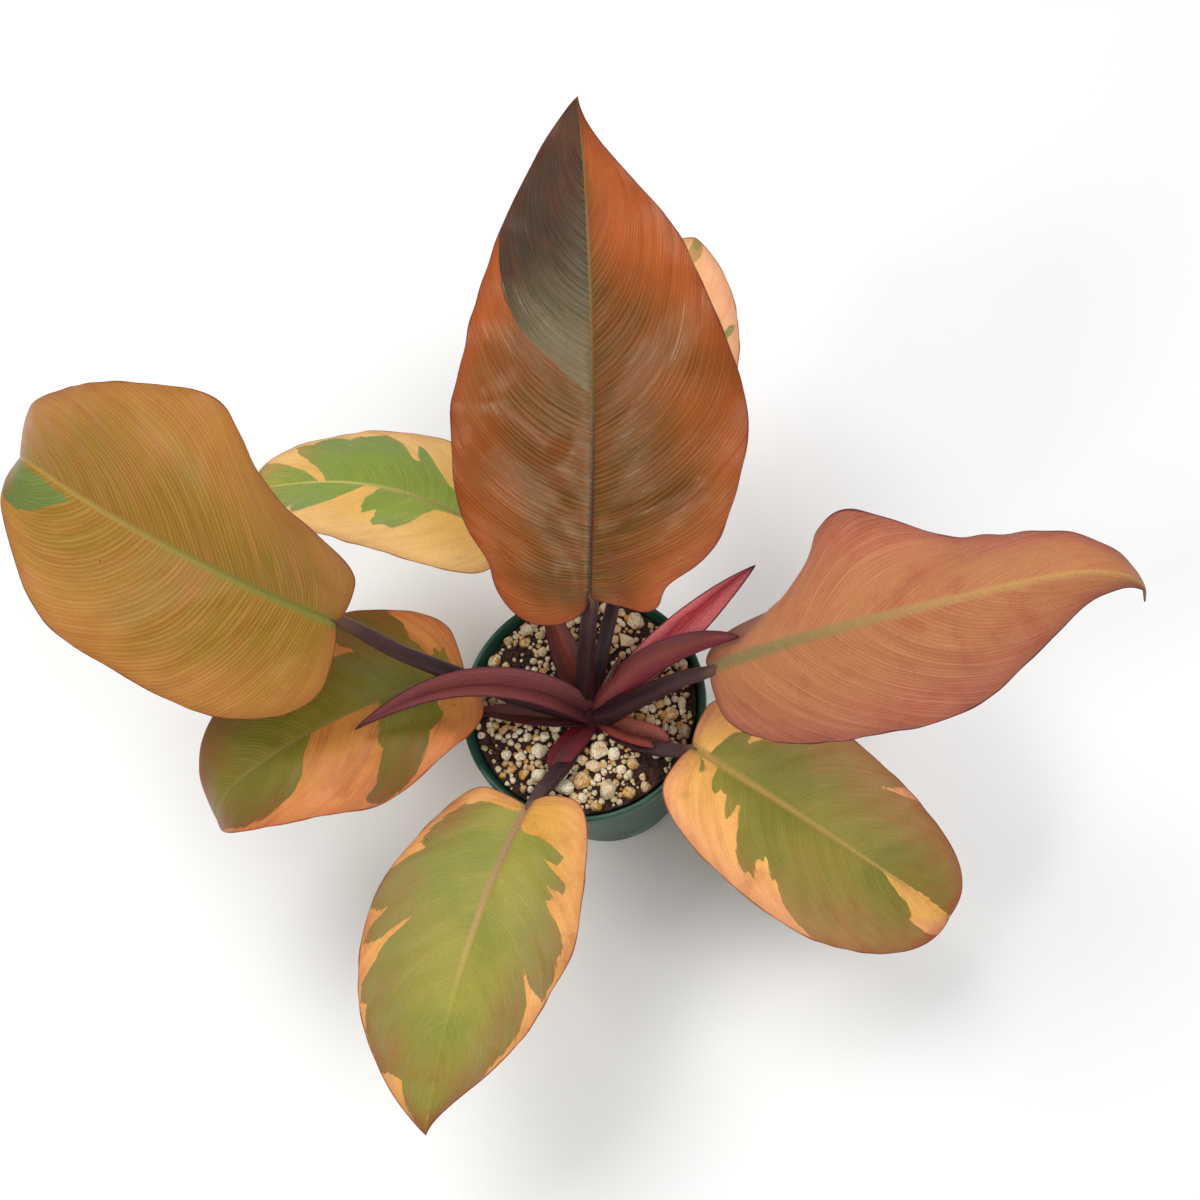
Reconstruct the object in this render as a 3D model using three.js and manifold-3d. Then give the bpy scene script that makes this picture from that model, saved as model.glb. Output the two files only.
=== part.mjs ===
// Potted black cardinal philodendron, variegated: eight leaves and three bracts on a short stem in a nursery pot.
// Millimetres, +Z up, origin at the centre of the pot's underside.
import * as THREE from "three";
import { mergeVertices } from "three/addons/utils/BufferGeometryUtils.js";
import Module from "manifold-3d";

const wasm = await Module();
wasm.setup();

// Pot and soil
const POT_HEIGHT = 66;
const RIM_RADIUS = 38;
const BASE_RADIUS = 27;
const POT_WALL = 1.2;
const POT_FLOOR = 1.6;
const DRAIN_RADIUS = 3;
const DRAIN_CIRCLE = 19;
const SOIL_LEVEL = 63;
const GRAIN_COUNT = 110;

// Clearance kept between touching pieces
const GAP = 0.3;

// Leaf tissue
const LEAF_THICK = 0.7;
const BRACT_THICK = 1.0;
const RIB_DEPTH = 1.2;
const RIB_WIDTH = 2.2;
const LEAF_ROWS = [3, 6, 8];
const LEAF_COLUMNS = 5;
const BRACT_ROWS = [2, 3, 6];
const BRACT_COLUMNS = 3;
const PETIOLE_SIDES = 10;
const PETIOLE_STEPS = 12;

// Stem
const CROWN_AT = [1, -4];
const CROWN_PROFILE = [[0, 44], [4.8, 44], [6, 55], [6, 61], [5.4, 64.5], [3.6, 67], [0, 68.3]];

// A leaf starts at base, where its stalk ends. head and pitch are the midrib's first direction, and sweep, arch and
// hook turn it on the way to the tip. roll and twist turn the blade about the midrib. Each half has its width, the
// length of the lobe beside the stalk, where it is widest, how full and how pointed it runs out, its fold, and its
// waves as places along the leaf with their heights.
const LEAVES = {
  back: {
    base: [12.5, 7.5, 118], length: 135,
    head: 61, sweep: 11, pitch: 36, arch: -16, hook: 9, roll: -30, twist: 18,
    left: { width: 42.5, lobe: 11, widest: 0.26, full: 2, point: 0.88, fold: 7, waves: [[0, 3], [0.25, 4]] },
    right: {
      width: 41.5, lobe: 1.5, widest: 0.3, full: 2.7, point: 1.85, fold: 2,
      waves: [[0, -6], [0.25, -12], [0.5, 6]],
    },
    stalk: [[1.5, 1, 63], [2.5, 1.5, 84], [9, 3, 102]], thick: [3.3, 2], color: 0xa8663c,
  },
  left: {
    base: [-57, 30, 118], length: 137,
    head: 139, sweep: -22, pitch: 18, arch: -32, hook: -46, roll: -62, twist: 31,
    left: { width: 43, lobe: 4, widest: 0.28, full: 1.8, point: 1.12, fold: 23, waves: [[0.25, -2.5], [0.5, 7]] },
    right: { width: 44.5, lobe: 4, widest: 0.42, full: 1.85, point: 1.23, fold: 4, waves: [[0, 8], [0.25, -15]] },
    stalk: [[-1, -3, 64], [-12, 1, 72], [-36, 16, 88]], thick: [3.1, 2.2], color: 0xb08a45,
  },
  rear_left: {
    base: [-5, 54, 84], length: 99,
    head: 122, sweep: 36, pitch: 5, arch: -29, hook: 10, roll: 18, twist: 0,
    left: { width: 28.5, lobe: 5.5, widest: 0.39, full: 2, point: 0.63, fold: 6, waves: [] },
    right: { width: 26.5, lobe: 5, widest: 0.44, full: 1.45, point: 0.28, fold: 3, waves: [] },
    stalk: [[1, -1, 64], [1, 12, 72], [-1, 32, 80]], thick: [2.9, 1.9], color: 0x8f9444,
    sheath: { base: [0.5, 0, 65], length: 34, head: 89, sweep: 2, pitch: 32, arch: -20, width: 5.6, fold: 34 },
  },
  low_left: {
    base: [-31, 21, 73], length: 100,
    head: 181, sweep: 13, pitch: 23, arch: -50, hook: -49, roll: 8, twist: 0,
    left: { width: 30, lobe: 1.5, widest: 0.41, full: 1.9, point: 1, fold: 3, waves: [[0.25, -8.5]] },
    right: { width: 32.5, lobe: 1.5, widest: 0.39, full: 1.8, point: 0.66, fold: 6, waves: [[0.25, 3]] },
    stalk: [[-2, -4, 62], [-10, -3, 68], [-22, 8, 71]], thick: [2.6, 2], color: 0x8c8440,
    sheath: { base: [-3, -5, 65], length: 33, head: 161, sweep: -12, pitch: 20, arch: -16, width: 4.8, fold: 40 },
  },
  front: {
    base: [-27, -27, 72], length: 94,
    head: 223, sweep: 20, pitch: 2, arch: -7, hook: 0, roll: 13, twist: -4,
    left: { width: 30.5, lobe: 7, widest: 0.4, full: 2.9, point: 1.6, fold: 6, waves: [[0.25, -5.5], [0.5, 2.5]] },
    right: { width: 32, lobe: 1.5, widest: 0.47, full: 2, point: 0.94, fold: 5, waves: [[0, -3.5], [0.25, 2.5]] },
    stalk: [[0, -7, 62], [-4, -13, 66], [-17, -21, 70]], thick: [3, 2.1], color: 0x9c9a4c,
    sheath: { base: [-1, -8, 66], length: 19, head: 206, sweep: 12, pitch: 30, arch: -36, width: 4.2, fold: -22 },
  },
  low_right: {
    base: [25.5, -30, 73], length: 94,
    head: -52, sweep: 1, pitch: -17, arch: -14, hook: -6, roll: 0, twist: 3,
    left: { width: 27.5, lobe: 3.5, widest: 0.41, full: 1.3, point: 0.36, fold: 11, waves: [] },
    right: { width: 31, lobe: 3.2, widest: 0.5, full: 1.7, point: 0.54, fold: 10, waves: [] },
    stalk: [[3, -8, 62], [5, -16, 67], [14, -27, 72]], thick: [3, 1.9], color: 0x989148,
    sheath: { base: [4, -9, 65], length: 23, head: -54, sweep: 18, pitch: 20, arch: -10, width: 4.6, fold: 34 },
  },
  right: {
    base: [37, -20.5, 105], length: 138,
    head: -32, sweep: 12, pitch: 52, arch: -32, hook: -100, roll: -20, twist: 4,
    left: {
      width: 27, lobe: 8, widest: 0.32, full: 1.55, point: 1, fold: 5,
      waves: [[-0.04, -9], [0.27, 14], [0.5, -7]],
    },
    right: { width: 29, lobe: 5, widest: 0.39, full: 2.2, point: 2.3, fold: -60, waves: [[0, -2], [0.5, -3]] },
    stalk: [[4, -5, 63], [7, -9, 72], [24, -15, 92]], thick: [4.2, 1.8], color: 0xa8705a,
  },
  rear_right: {
    base: [40, 50, 86], length: 99.5,
    head: 64, sweep: -14, pitch: 15, arch: -28, hook: 3, roll: 0, twist: 0,
    left: { width: 29, lobe: 5, widest: 0.42, full: 2.1, point: 0.8, fold: 8, waves: [] },
    right: { width: 28, lobe: 5, widest: 0.39, full: 2.1, point: 0.86, fold: 8, waves: [] },
    stalk: [[3, -1, 64], [6, 2, 77], [22, 20, 87]], thick: [2.5, 1.8], color: 0xcf9c72,
    sheath: { base: [5, -3, 68], length: 20, head: 22, sweep: 0, pitch: 64, arch: -12, width: 1.3, fold: 30 },
  },
};

// Bracts, folded along the keel; left and right hold what differs between the halves
const BRACTS = {
  bract_left: {
    base: [-0.6, -4.2, 66.2], length: 76.5, head: 142, sweep: 48, pitch: 57, arch: -83, hook: 20, roll: -6,
    width: 6.6, fold: 42, left: { widest: 0.25 }, right: { widest: 0.25 }, color: 0x5c2c34,
  },
  bract_right: {
    base: [0.5, -4.5, 65.5], length: 67, head: 9, sweep: -45, pitch: 57, arch: -28, hook: -7, roll: 12,
    width: 5.4, fold: -30, left: { widest: 0.14, full: 2.6, point: 0.7 },
    right: { widest: 0.14, full: 2.6, point: 0.7 }, color: 0x54242f,
  },
  bract_upright: {
    base: [5, -4, 67], length: 67, head: 12, sweep: -6, pitch: 43, arch: -21, hook: -5, roll: 0,
    width: 5, fold: 28, left: { width: 4 }, right: { width: 8, widest: 0.5, fold: 8 }, color: 0x9c3442,
  },
};

const rad = THREE.MathUtils.degToRad;
const smooth = (x) => THREE.MathUtils.smoothstep(x, 0, 1);

function random(seed) {
  let s = seed;
  return () => {
    s = (s * 1664525 + 1013904223) % 4294967296;
    return s / 4294967296;
  };
}

function geometry(points, faces) {
  const g = new THREE.BufferGeometry();
  g.setAttribute("position", new THREE.Float32BufferAttribute(points.flatMap((p) => p.toArray()), 3));
  g.setIndex(faces.flat());
  return g;
}

function solid(g) {
  const plain = new THREE.BufferGeometry();
  plain.setAttribute("position", g.getAttribute("position"));
  if (g.index) {
    plain.setIndex(g.index);
  }
  const m = mergeVertices(plain, 1e-4);
  return new wasm.Manifold(new wasm.Mesh({
    numProp: 3,
    vertProperties: new Float32Array(m.getAttribute("position").array),
    triVerts: new Uint32Array(m.index.array),
  }));
}

// Midrib: point and frame at any distance along it
function midrib(leaf) {
  const steps = 60;
  const rows = [];
  const p = new THREE.Vector3(...leaf.base);
  for (let i = 0; i <= steps; i += 1) {
    const u = i / steps;
    const pitch = rad(leaf.pitch + leaf.arch * u + (leaf.hook ?? 0) * smooth((u - 0.72) / 0.28));
    const head = rad(leaf.head + leaf.sweep * u);
    const roll = rad((leaf.roll ?? 0) + (leaf.twist ?? 0) * u);
    const t = new THREE.Vector3(Math.cos(pitch) * Math.cos(head), Math.cos(pitch) * Math.sin(head), Math.sin(pitch));
    const s = new THREE.Vector3(-Math.sin(head), Math.cos(head), 0).applyAxisAngle(t, roll);
    if (i > 0) {
      const mean = rows[i - 1].t.clone().add(t).multiplyScalar(leaf.length / steps / 2);
      p.add(mean);
    }
    rows.push({ p: p.clone(), t, s, n: t.clone().cross(s) });
  }
  return (a) => {
    const x = THREE.MathUtils.clamp(a / leaf.length, 0, 1) * steps;
    const i = Math.min(Math.floor(x), steps - 1);
    const mix = (k) => rows[i][k].clone().lerp(rows[i + 1][k], x - i);
    const at = { p: mix("p"), t: mix("t"), s: mix("s"), n: mix("n") };
    at.p.addScaledVector(at.t, a - THREE.MathUtils.clamp(a, 0, leaf.length));
    return at;
  };
}

// Flat outline of one half: round the lobe, out to the widest place, in to the tip
function outline(leaf, half, rows) {
  const { width, lobe, widest, full, point } = half;
  const shoulder = 0.42 * width;
  const wide = widest * leaf.length;
  const edge = [];
  for (let i = 0; i <= rows[0]; i += 1) {
    const f = Math.PI / 2 * (1 - i / rows[0]);
    edge.push([-lobe * Math.cos(f), shoulder * (1 - Math.sin(f))]);
  }
  for (let i = 1; i <= rows[1]; i += 1) {
    const f = Math.PI / 2 * i / rows[1];
    edge.push([-lobe + (wide + lobe) * (1 - Math.cos(f)), shoulder + (width - shoulder) * Math.sin(f)]);
  }
  for (let i = 1; i <= rows[2]; i += 1) {
    const x = Math.sin(Math.PI / 2 * i / rows[2]);
    edge.push([wide + (leaf.length - wide) * x, width * (1 - x ** full) ** point]);
  }
  return edge;
}

// Where a flat point of one half lies on the bent blade
function place(leaf, half, side, rib, a, b) {
  const at = rib(a);
  const v = b / half.width;
  let lift = b * Math.sin(rad(half.fold));
  half.waves.forEach(([where, height]) => {
    lift += height * v * v * Math.exp(-(((a / leaf.length - 0.12 * v - where) / 0.16) ** 2));
  });
  return at.p.addScaledVector(at.s, side * b * Math.cos(rad(half.fold))).addScaledVector(at.n, lift);
}

function blade(leaf, thick, rows, columns, grow = 0) {
  const rib = midrib(leaf);
  const halves = [leaf.left, leaf.right].map((h) => ({ ...h, width: h.width + grow, lobe: h.lobe + grow }));
  const size = { ...leaf, length: leaf.length + grow };
  const edges = halves.map((h) => outline(size, h, rows));
  const count = edges[0].length - 1;
  const reach = [0];
  for (let i = 1; i <= count; i += 1) {
    const step = edges.map((e) => Math.hypot(e[i][0] - e[i - 1][0], e[i][1] - e[i - 1][1]));
    reach.push(reach[i - 1] + (step[0] + step[1]) / 2);
  }
  const points = [];
  const offRib = [];
  const add = (p, b) => {
    points.push(p);
    offRib.push(b);
    return points.length - 1;
  };
  const start = reach.map((r) => size.length * (r / reach[count]) ** 1.5);
  const spine = start.map((s) => add(rib(s).p, 0));
  const faces = [];
  halves.forEach((half, k) => {
    const side = 1 - 2 * k;
    const grid = start.map((s, i) => {
      const [ea, eb] = edges[k][i];
      const row = [spine[i]];
      for (let j = 1; j <= columns; j += 1) {
        if (i === 0 || i === count) {
          row.push(spine[i]);
        } else {
          const v = j / columns;
          const a = s * (1 - v) ** 2 + 2 * (s + 0.25 * (ea - s)) * v * (1 - v) + ea * v * v;
          const b = 1.2 * eb * v * (1 - v) + eb * v * v;
          row.push(add(place(leaf, half, side, rib, a, b), b));
        }
      }
      return row;
    });
    for (let i = 0; i < count; i += 1) {
      for (let j = 0; j < columns; j += 1) {
        const [p, q, r, s] = [grid[i][j], grid[i + 1][j], grid[i + 1][j + 1], grid[i][j + 1]];
        [[p, q, r], [p, r, s]].forEach((f) => {
          if (new Set(f).size === 3) {
            faces.push(side > 0 ? f : [f[0], f[2], f[1]]);
          }
        });
      }
    }
  });
  return thicken(points, faces, offRib, thick, grow);
}

// Gives a sheet its two faces and its edge, with the midrib standing out below
function thicken(points, faces, offRib, thick, grow) {
  const normals = points.map(() => new THREE.Vector3());
  const edges = new Set();
  faces.forEach((f) => {
    const [a, b, c] = f.map((i) => points[i]);
    const n = b.clone().sub(a).cross(c.clone().sub(a));
    f.forEach((i, k) => {
      normals[i].add(n);
      edges.add(`${i},${f[(k + 1) % 3]}`);
    });
  });
  normals.forEach((n) => n.normalize());
  const up = thick / 2 + grow;
  const keel = thick > LEAF_THICK ? 0 : RIB_DEPTH;
  const top = points.map((p, i) => p.clone().addScaledVector(normals[i], up));
  const under = points.map((p, i) => {
    return p.clone().addScaledVector(normals[i], -up - keel * Math.exp(-((offRib[i] / RIB_WIDTH) ** 2)));
  });
  const n = points.length;
  const shell = [];
  faces.forEach(([a, b, c]) => {
    shell.push([a, b, c], [n + a, n + c, n + b]);
  });
  edges.forEach((key) => {
    const [a, b] = key.split(",").map(Number);
    if (!edges.has(`${b},${a}`)) {
      shell.push([b, a, n + a], [b, n + a, n + b]);
    }
  });
  return geometry([...top, ...under], shell);
}

// Tapering stalk from the stem to a leaf
function stalk(leaf, grow = 0) {
  const path = [...leaf.stalk, leaf.base].map((p) => new THREE.Vector3(...p));
  const curve = new THREE.CubicBezierCurve3(...path);
  const end = curve.getTangent(1);
  const points = [];
  const faces = [];
  let across = new THREE.Vector3(1, 0, 0);
  for (let i = 0; i <= PETIOLE_STEPS; i += 1) {
    const u = i / PETIOLE_STEPS;
    const p = curve.getPoint(u);
    if (i === PETIOLE_STEPS) {
      p.addScaledVector(end, grow);
    }
    const t = curve.getTangent(u);
    across = across.clone().addScaledVector(t, -across.dot(t)).normalize();
    const other = t.clone().cross(across);
    const r = THREE.MathUtils.lerp(leaf.thick[0], leaf.thick[1], u) + grow;
    for (let k = 0; k < PETIOLE_SIDES; k += 1) {
      const f = 2 * Math.PI * k / PETIOLE_SIDES;
      points.push(p.clone().addScaledVector(across, r * Math.cos(f)).addScaledVector(other, r * Math.sin(f)));
    }
  }
  for (let i = 0; i < PETIOLE_STEPS; i += 1) {
    for (let k = 0; k < PETIOLE_SIDES; k += 1) {
      const a = i * PETIOLE_SIDES + k;
      const b = i * PETIOLE_SIDES + (k + 1) % PETIOLE_SIDES;
      faces.push([a, b, b + PETIOLE_SIDES], [a, b + PETIOLE_SIDES, a + PETIOLE_SIDES]);
    }
  }
  const last = PETIOLE_STEPS * PETIOLE_SIDES;
  for (let k = 1; k < PETIOLE_SIDES - 1; k += 1) {
    faces.push([0, k + 1, k], [last, last + k, last + k + 1]);
  }
  return geometry(points, faces);
}

function bract(b, grow = 0) {
  const half = { width: b.width, lobe: 1.5, widest: 0.35, full: 1.9, point: 0.9, fold: b.fold, waves: [] };
  const [left, right] = [{ ...half, ...b.left }, { ...half, ...b.right }];
  return blade({ ...b, left, right }, BRACT_THICK, BRACT_ROWS, BRACT_COLUMNS, grow);
}

function petiole(leaf, grow = 0) {
  const tube = solid(stalk(leaf, grow));
  return leaf.sheath ? tube.add(solid(bract(leaf.sheath, grow))) : tube;
}

function lathe(profile, sides) {
  const g = new THREE.LatheGeometry(profile.map(([r, z]) => new THREE.Vector2(r, z)), sides);
  return g.rotateX(Math.PI / 2);
}

function crown(grow = 0) {
  const profile = CROWN_PROFILE.map(([r, z], i) => {
    const end = i === 0 || i === 1 ? -grow : grow;
    return [r > 0 ? r + grow : 0, z + (i < 2 || i > 4 ? end : 0)];
  });
  return solid(lathe(profile, 20).translate(CROWN_AT[0], CROWN_AT[1], 0));
}

function pot() {
  const lip = POT_HEIGHT - 4.6;
  const taper = (z) => BASE_RADIUS + (RIM_RADIUS - 2.8 - BASE_RADIUS) * z / lip;
  const profile = [
    [0, 0], [BASE_RADIUS - 0.6, 0], [BASE_RADIUS, 0.6], [taper(lip), lip],
    [RIM_RADIUS - 0.7, lip + 0.4], [RIM_RADIUS, lip + 1.1], [RIM_RADIUS, POT_HEIGHT - 0.7],
    [RIM_RADIUS - 0.6, POT_HEIGHT], [RIM_RADIUS - 1.2, POT_HEIGHT], [RIM_RADIUS - 1.7, POT_HEIGHT - 0.6],
    [taper(lip) - POT_WALL + 0.6, lip - 1], [BASE_RADIUS - POT_WALL, POT_FLOOR], [0, POT_FLOOR],
  ];
  let body = solid(lathe(profile, 48));
  for (let i = 0; i < 4; i += 1) {
    const hole = new THREE.CylinderGeometry(DRAIN_RADIUS, DRAIN_RADIUS, 6, 20).rotateX(Math.PI / 2);
    const f = Math.PI / 4 + i * Math.PI / 2;
    hole.translate(DRAIN_CIRCLE * Math.cos(f), DRAIN_CIRCLE * Math.sin(f), 0.5);
    body = body.subtract(solid(hole));
  }
  return body;
}

// Growing mix with coarse mineral grains, each sunk into its top
function soil() {
  const low = POT_FLOOR + GAP;
  const ledge = POT_HEIGHT - 5.6;
  const wall = RIM_RADIUS - 3.4 - GAP;
  const reach = wall + 0.3 * (SOIL_LEVEL - 1.2 - ledge);
  const profile = [
    [0, low], [BASE_RADIUS - POT_WALL - GAP, low], [wall, ledge], [reach, SOIL_LEVEL - 1.2],
    [31, SOIL_LEVEL], [10, SOIL_LEVEL + 0.2], [0, SOIL_LEVEL + 0.3],
  ];
  let body = solid(lathe(profile, 40));
  const next = random(41);
  const grains = [];
  for (let tries = 0; grains.length < GRAIN_COUNT && tries < 4000; tries += 1) {
    const size = 1.4 + 1.7 * next() ** 1.6;
    const r = (reach - size - 0.4) * Math.sqrt(next());
    const f = 2 * Math.PI * next();
    const at = new THREE.Vector3(r * Math.cos(f), r * Math.sin(f), SOIL_LEVEL - 0.8 + 0.5 * size);
    const nearStem = Math.hypot(at.x - CROWN_AT[0], at.y - CROWN_AT[1]) < 7.5 + size;
    if (nearStem || grains.some((g) => g.at.distanceTo(at) < 0.8 * (g.size + size))) {
      continue;
    }
    grains.push({ at, size });
    const chunk = size > 2 ? new THREE.IcosahedronGeometry(size, 0) : new THREE.OctahedronGeometry(size, 0);
    const grain = chunk.scale(1, 0.75 + 0.3 * next(), 0.6 + 0.3 * next());
    grain.rotateX(1.2 * next()).rotateZ(2 * Math.PI * next()).translate(at.x, at.y, at.z);
    body = body.add(solid(grain));
  }
  return body;
}

// Every piece keeps clear of those made before it
const root = new THREE.Group();
const kept = [];

function fit(body, wide) {
  let rest = body;
  kept.forEach((other) => {
    rest = rest.subtract(other);
  });
  const parts = rest.decompose();
  parts.sort((a, b) => b.volume() - a.volume());
  kept.push(wide);
  return parts[0];
}

function show(name, body, color, roughness) {
  const mesh = body.getMesh();
  const g = new THREE.BufferGeometry();
  g.setAttribute("position", new THREE.Float32BufferAttribute(mesh.vertProperties, 3));
  g.setIndex(new THREE.BufferAttribute(new Uint32Array(mesh.triVerts), 1));
  g.computeVertexNormals();
  const part = new THREE.Mesh(g, new THREE.MeshStandardMaterial({ color, roughness, metalness: 0 }));
  part.name = name;
  root.add(part);
}

show("pot", fit(pot(), pot()), 0x1c4a3c, 0.45);
show("stem", fit(crown(), crown(GAP)), 0x3a1c24, 0.5);
["back", "right", "left", "rear_right", "rear_left", "low_left", "front", "low_right"].forEach((name) => {
  const leaf = LEAVES[name];
  show(`petiole_${name}`, fit(petiole(leaf), petiole(leaf, GAP)), 0x38202a, 0.45);
});
Object.entries(BRACTS).forEach(([name, b]) => {
  show(name, fit(solid(bract(b)), solid(bract(b, GAP))), b.color, 0.5);
});
Object.entries(LEAVES).forEach(([name, leaf]) => {
  const make = (grow) => solid(blade(leaf, LEAF_THICK, LEAF_ROWS, LEAF_COLUMNS, grow));
  show(`blade_${name}`, fit(make(0), make(GAP)), leaf.color, 0.4);
});
show("soil", fit(soil(), soil()), 0x241610, 0.95);

export default root;
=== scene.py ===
import math
from types import SimpleNamespace

import bmesh
import bpy
import numpy as np
from mathutils import Matrix, Vector, noise


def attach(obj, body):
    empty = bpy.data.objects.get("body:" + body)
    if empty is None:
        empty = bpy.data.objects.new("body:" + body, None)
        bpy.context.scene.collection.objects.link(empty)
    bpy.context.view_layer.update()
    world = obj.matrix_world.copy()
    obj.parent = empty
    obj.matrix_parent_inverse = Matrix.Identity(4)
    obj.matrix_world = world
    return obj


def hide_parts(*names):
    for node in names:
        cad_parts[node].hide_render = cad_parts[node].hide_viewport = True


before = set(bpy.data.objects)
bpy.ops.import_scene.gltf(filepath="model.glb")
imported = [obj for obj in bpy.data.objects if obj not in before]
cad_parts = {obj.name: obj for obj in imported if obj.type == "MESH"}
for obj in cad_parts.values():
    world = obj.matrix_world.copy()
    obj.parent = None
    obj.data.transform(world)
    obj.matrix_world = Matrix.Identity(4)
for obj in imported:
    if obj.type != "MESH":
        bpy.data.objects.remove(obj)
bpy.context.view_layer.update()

MM = 0.001

# Camera, in metres and degrees
CAMERA_PLACE = (0, -0.1555, 0.4529)
CAMERA_TARGET = (0.0171, 0.0300, 0.066)
CAMERA_ANGLE = 48
CAMERA_ROLL = -17.1

# Studio: each lamp's place, what it faces, its size, watts and colour
LAMPS = {
    "key": ((-0.3, 0.8, 1.6), (0, 0, 0.08), (1.2, 0.9), 15.5, (1, 0.99, 0.97)),
    "fill": ((0.6, -0.75, 1.4), (0, 0, 0.08), (0.9, 0.9), 9.5, (1, 1, 1)),
    "window": ((-1.12, -0.22, 1.1), (0, 0.03, 0.13), (0.38, 0.38), 5.0, (1, 0.94, 0.84)),
}
SKY_COLOR = (0.97, 0.985, 1, 1)
SKY_STRENGTH = 0.42
FLOOR_REACH = 12.0

# Warm tint of the leaves' sheen
WARM_GLOSS = (1.0, 0.88, 0.70, 1.0)

# Pot and soil
POT_HEIGHT = 66
RIM_RADIUS = 38
RIM_BAND = 4.6
RIM_STEP = 2.8
BASE_RADIUS = 27
POT_WALL = 1.2
POT_FLOOR = 1.6
DRAIN_RADIUS = 3
DRAIN_CIRCLE = 19
DRAIN_COUNT = 4
SOIL_LEVEL = 63
GRAIN_COUNT = 700
GRAIN_SEED = 12
GRAIN_TRIES = 14000
GRAIN_SPACING = 0.74
BARE_CHANCE = 0.93
CROWN_CLEAR = 5.6
BARK_COUNT = 420
BARK_SEED = 5
BARK_CLEAR = 5

# Leaf tissue
LEAF_THICK = 0.5
EDGE_THICK = 0.16
BRACT_THICK = 0.8
BRACT_EDGE = 0.3
BRACT_GROOVE = 0.15
KEEL_DEPTH = 1.2
KEEL_WIDTH = 2.2
GROOVE_DEPTH = 0.32
GROOVE_WIDTH = 0.9
LEAF_ROWS = 150
LEAF_COLUMNS = 28
BRACT_ROWS = 70
BRACT_COLUMNS = 12

# Stalks, each of which runs out under its blade's midrib, and the stem
STALK_SIDES = 32
STALK_STEPS = 56
STALK_RUNOUT = 14
BLUNT_WINGS = ("front", "low_right")
CROWN_AT = (1, -4)
CROWN_FOOT = 44
CROWN_TOP = 68.2

# Large stones in the mix: place from the pot's axis, radius, how pale, how stained
LARGE_GRAINS = [
    (-1, -16, 2.8, 1.0, 0.5), (3, -19, 2.2, 1.0, 0.2), (26, 20, 2.8, 1.0, 0.5), (20, 14, 2.6, 0.8, 0.4),
    (18, 28, 2.0, 0.6, 0.4), (23, -14, 2.6, 0.55, 0.8), (22, -19, 1.7, 0.9, 0.3), (26, -21, 2.2, 0.6, 0.4),
    (28, -2, 1.9, 0.6, 0.8), (30, 2, 1.4, 0.3, 0.7), (35, 0, 1.4, 1.0, 0.2), (33, -2, 1.5, 0.4, 0.6),
    (-11, -3, 2.5, 0.9, 0.1), (-18, -9, 2.4, 0.95, 0.2), (-20, -3, 1.6, 0.9, 0.1),
    (-7, -17, 2.1, 0.9, 0.5), (-4, -20, 2.2, 0.6, 0.4), (-9, -23, 2.5, 0.35, 0.8),
    (-3, -29, 3.0, 0.85, 0.4), (-15, -23, 3.0, 1.0, 0.2), (-8, -32, 1.9, 0.5, 0.7),
    (3, -32, 2.1, 0.4, 0.7), (7, -24, 1.7, 0.5, 0.6), (3, -24, 1.6, 0.9, 0.2), (-12, -18, 1.7, 0.9, 0.2),
    (-21, -16, 2.3, 0.95, 0.3), (-25, -14, 1.8, 0.5, 0.9), (-28, -11, 1.5, 0.3, 0.7),
    (-24, -8, 1.5, 0.9, 0.2), (-28, -6, 1.6, 0.85, 0.3), (-26, 6, 1.7, 1.0, 0.1), (-26, 2, 1.7, 0.4, 0.5),
    (-10, 27, 1.9, 0.8, 0.8), (-8, 31, 2.2, 0.95, 0.3), (-6, 22, 1.6, 0.7, 0.3), (-16, 32, 1.6, 0.5, 0.7),
    (-23, 27, 1.9, 0.8, 0.7), (8, 28, 1.6, 0.9, 0.2), (12, 15, 1.7, 1.0, 0.2), (28, -12, 1.9, 0.85, 0.2),
    (17, -13, 1.9, 0.5, 0.6), (19, -10, 1.4, 0.95, 0.2), (8, -32, 1.6, 0.6, 0.5), (-1, -34, 1.2, 0.8, 0.8),
    (-34, -1, 1.2, 0.3, 0.4), (22, 24, 1.4, 0.5, 0.6), (-15, -5, 1.9, 0.9, 0.2), (-11, -28, 1.6, 0.9, 0.2),
]

# Where few stones lie and the dark mix shows: place from the pot's axis, radius
BARE_PATCHES = [
    (-33, -2, 5), (-15, 22, 5.5), (12, -26, 5.5), (33, -13, 4), (25, 16, 3), (-30, -6, 3.5), (8, -29, 3),
]

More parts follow.
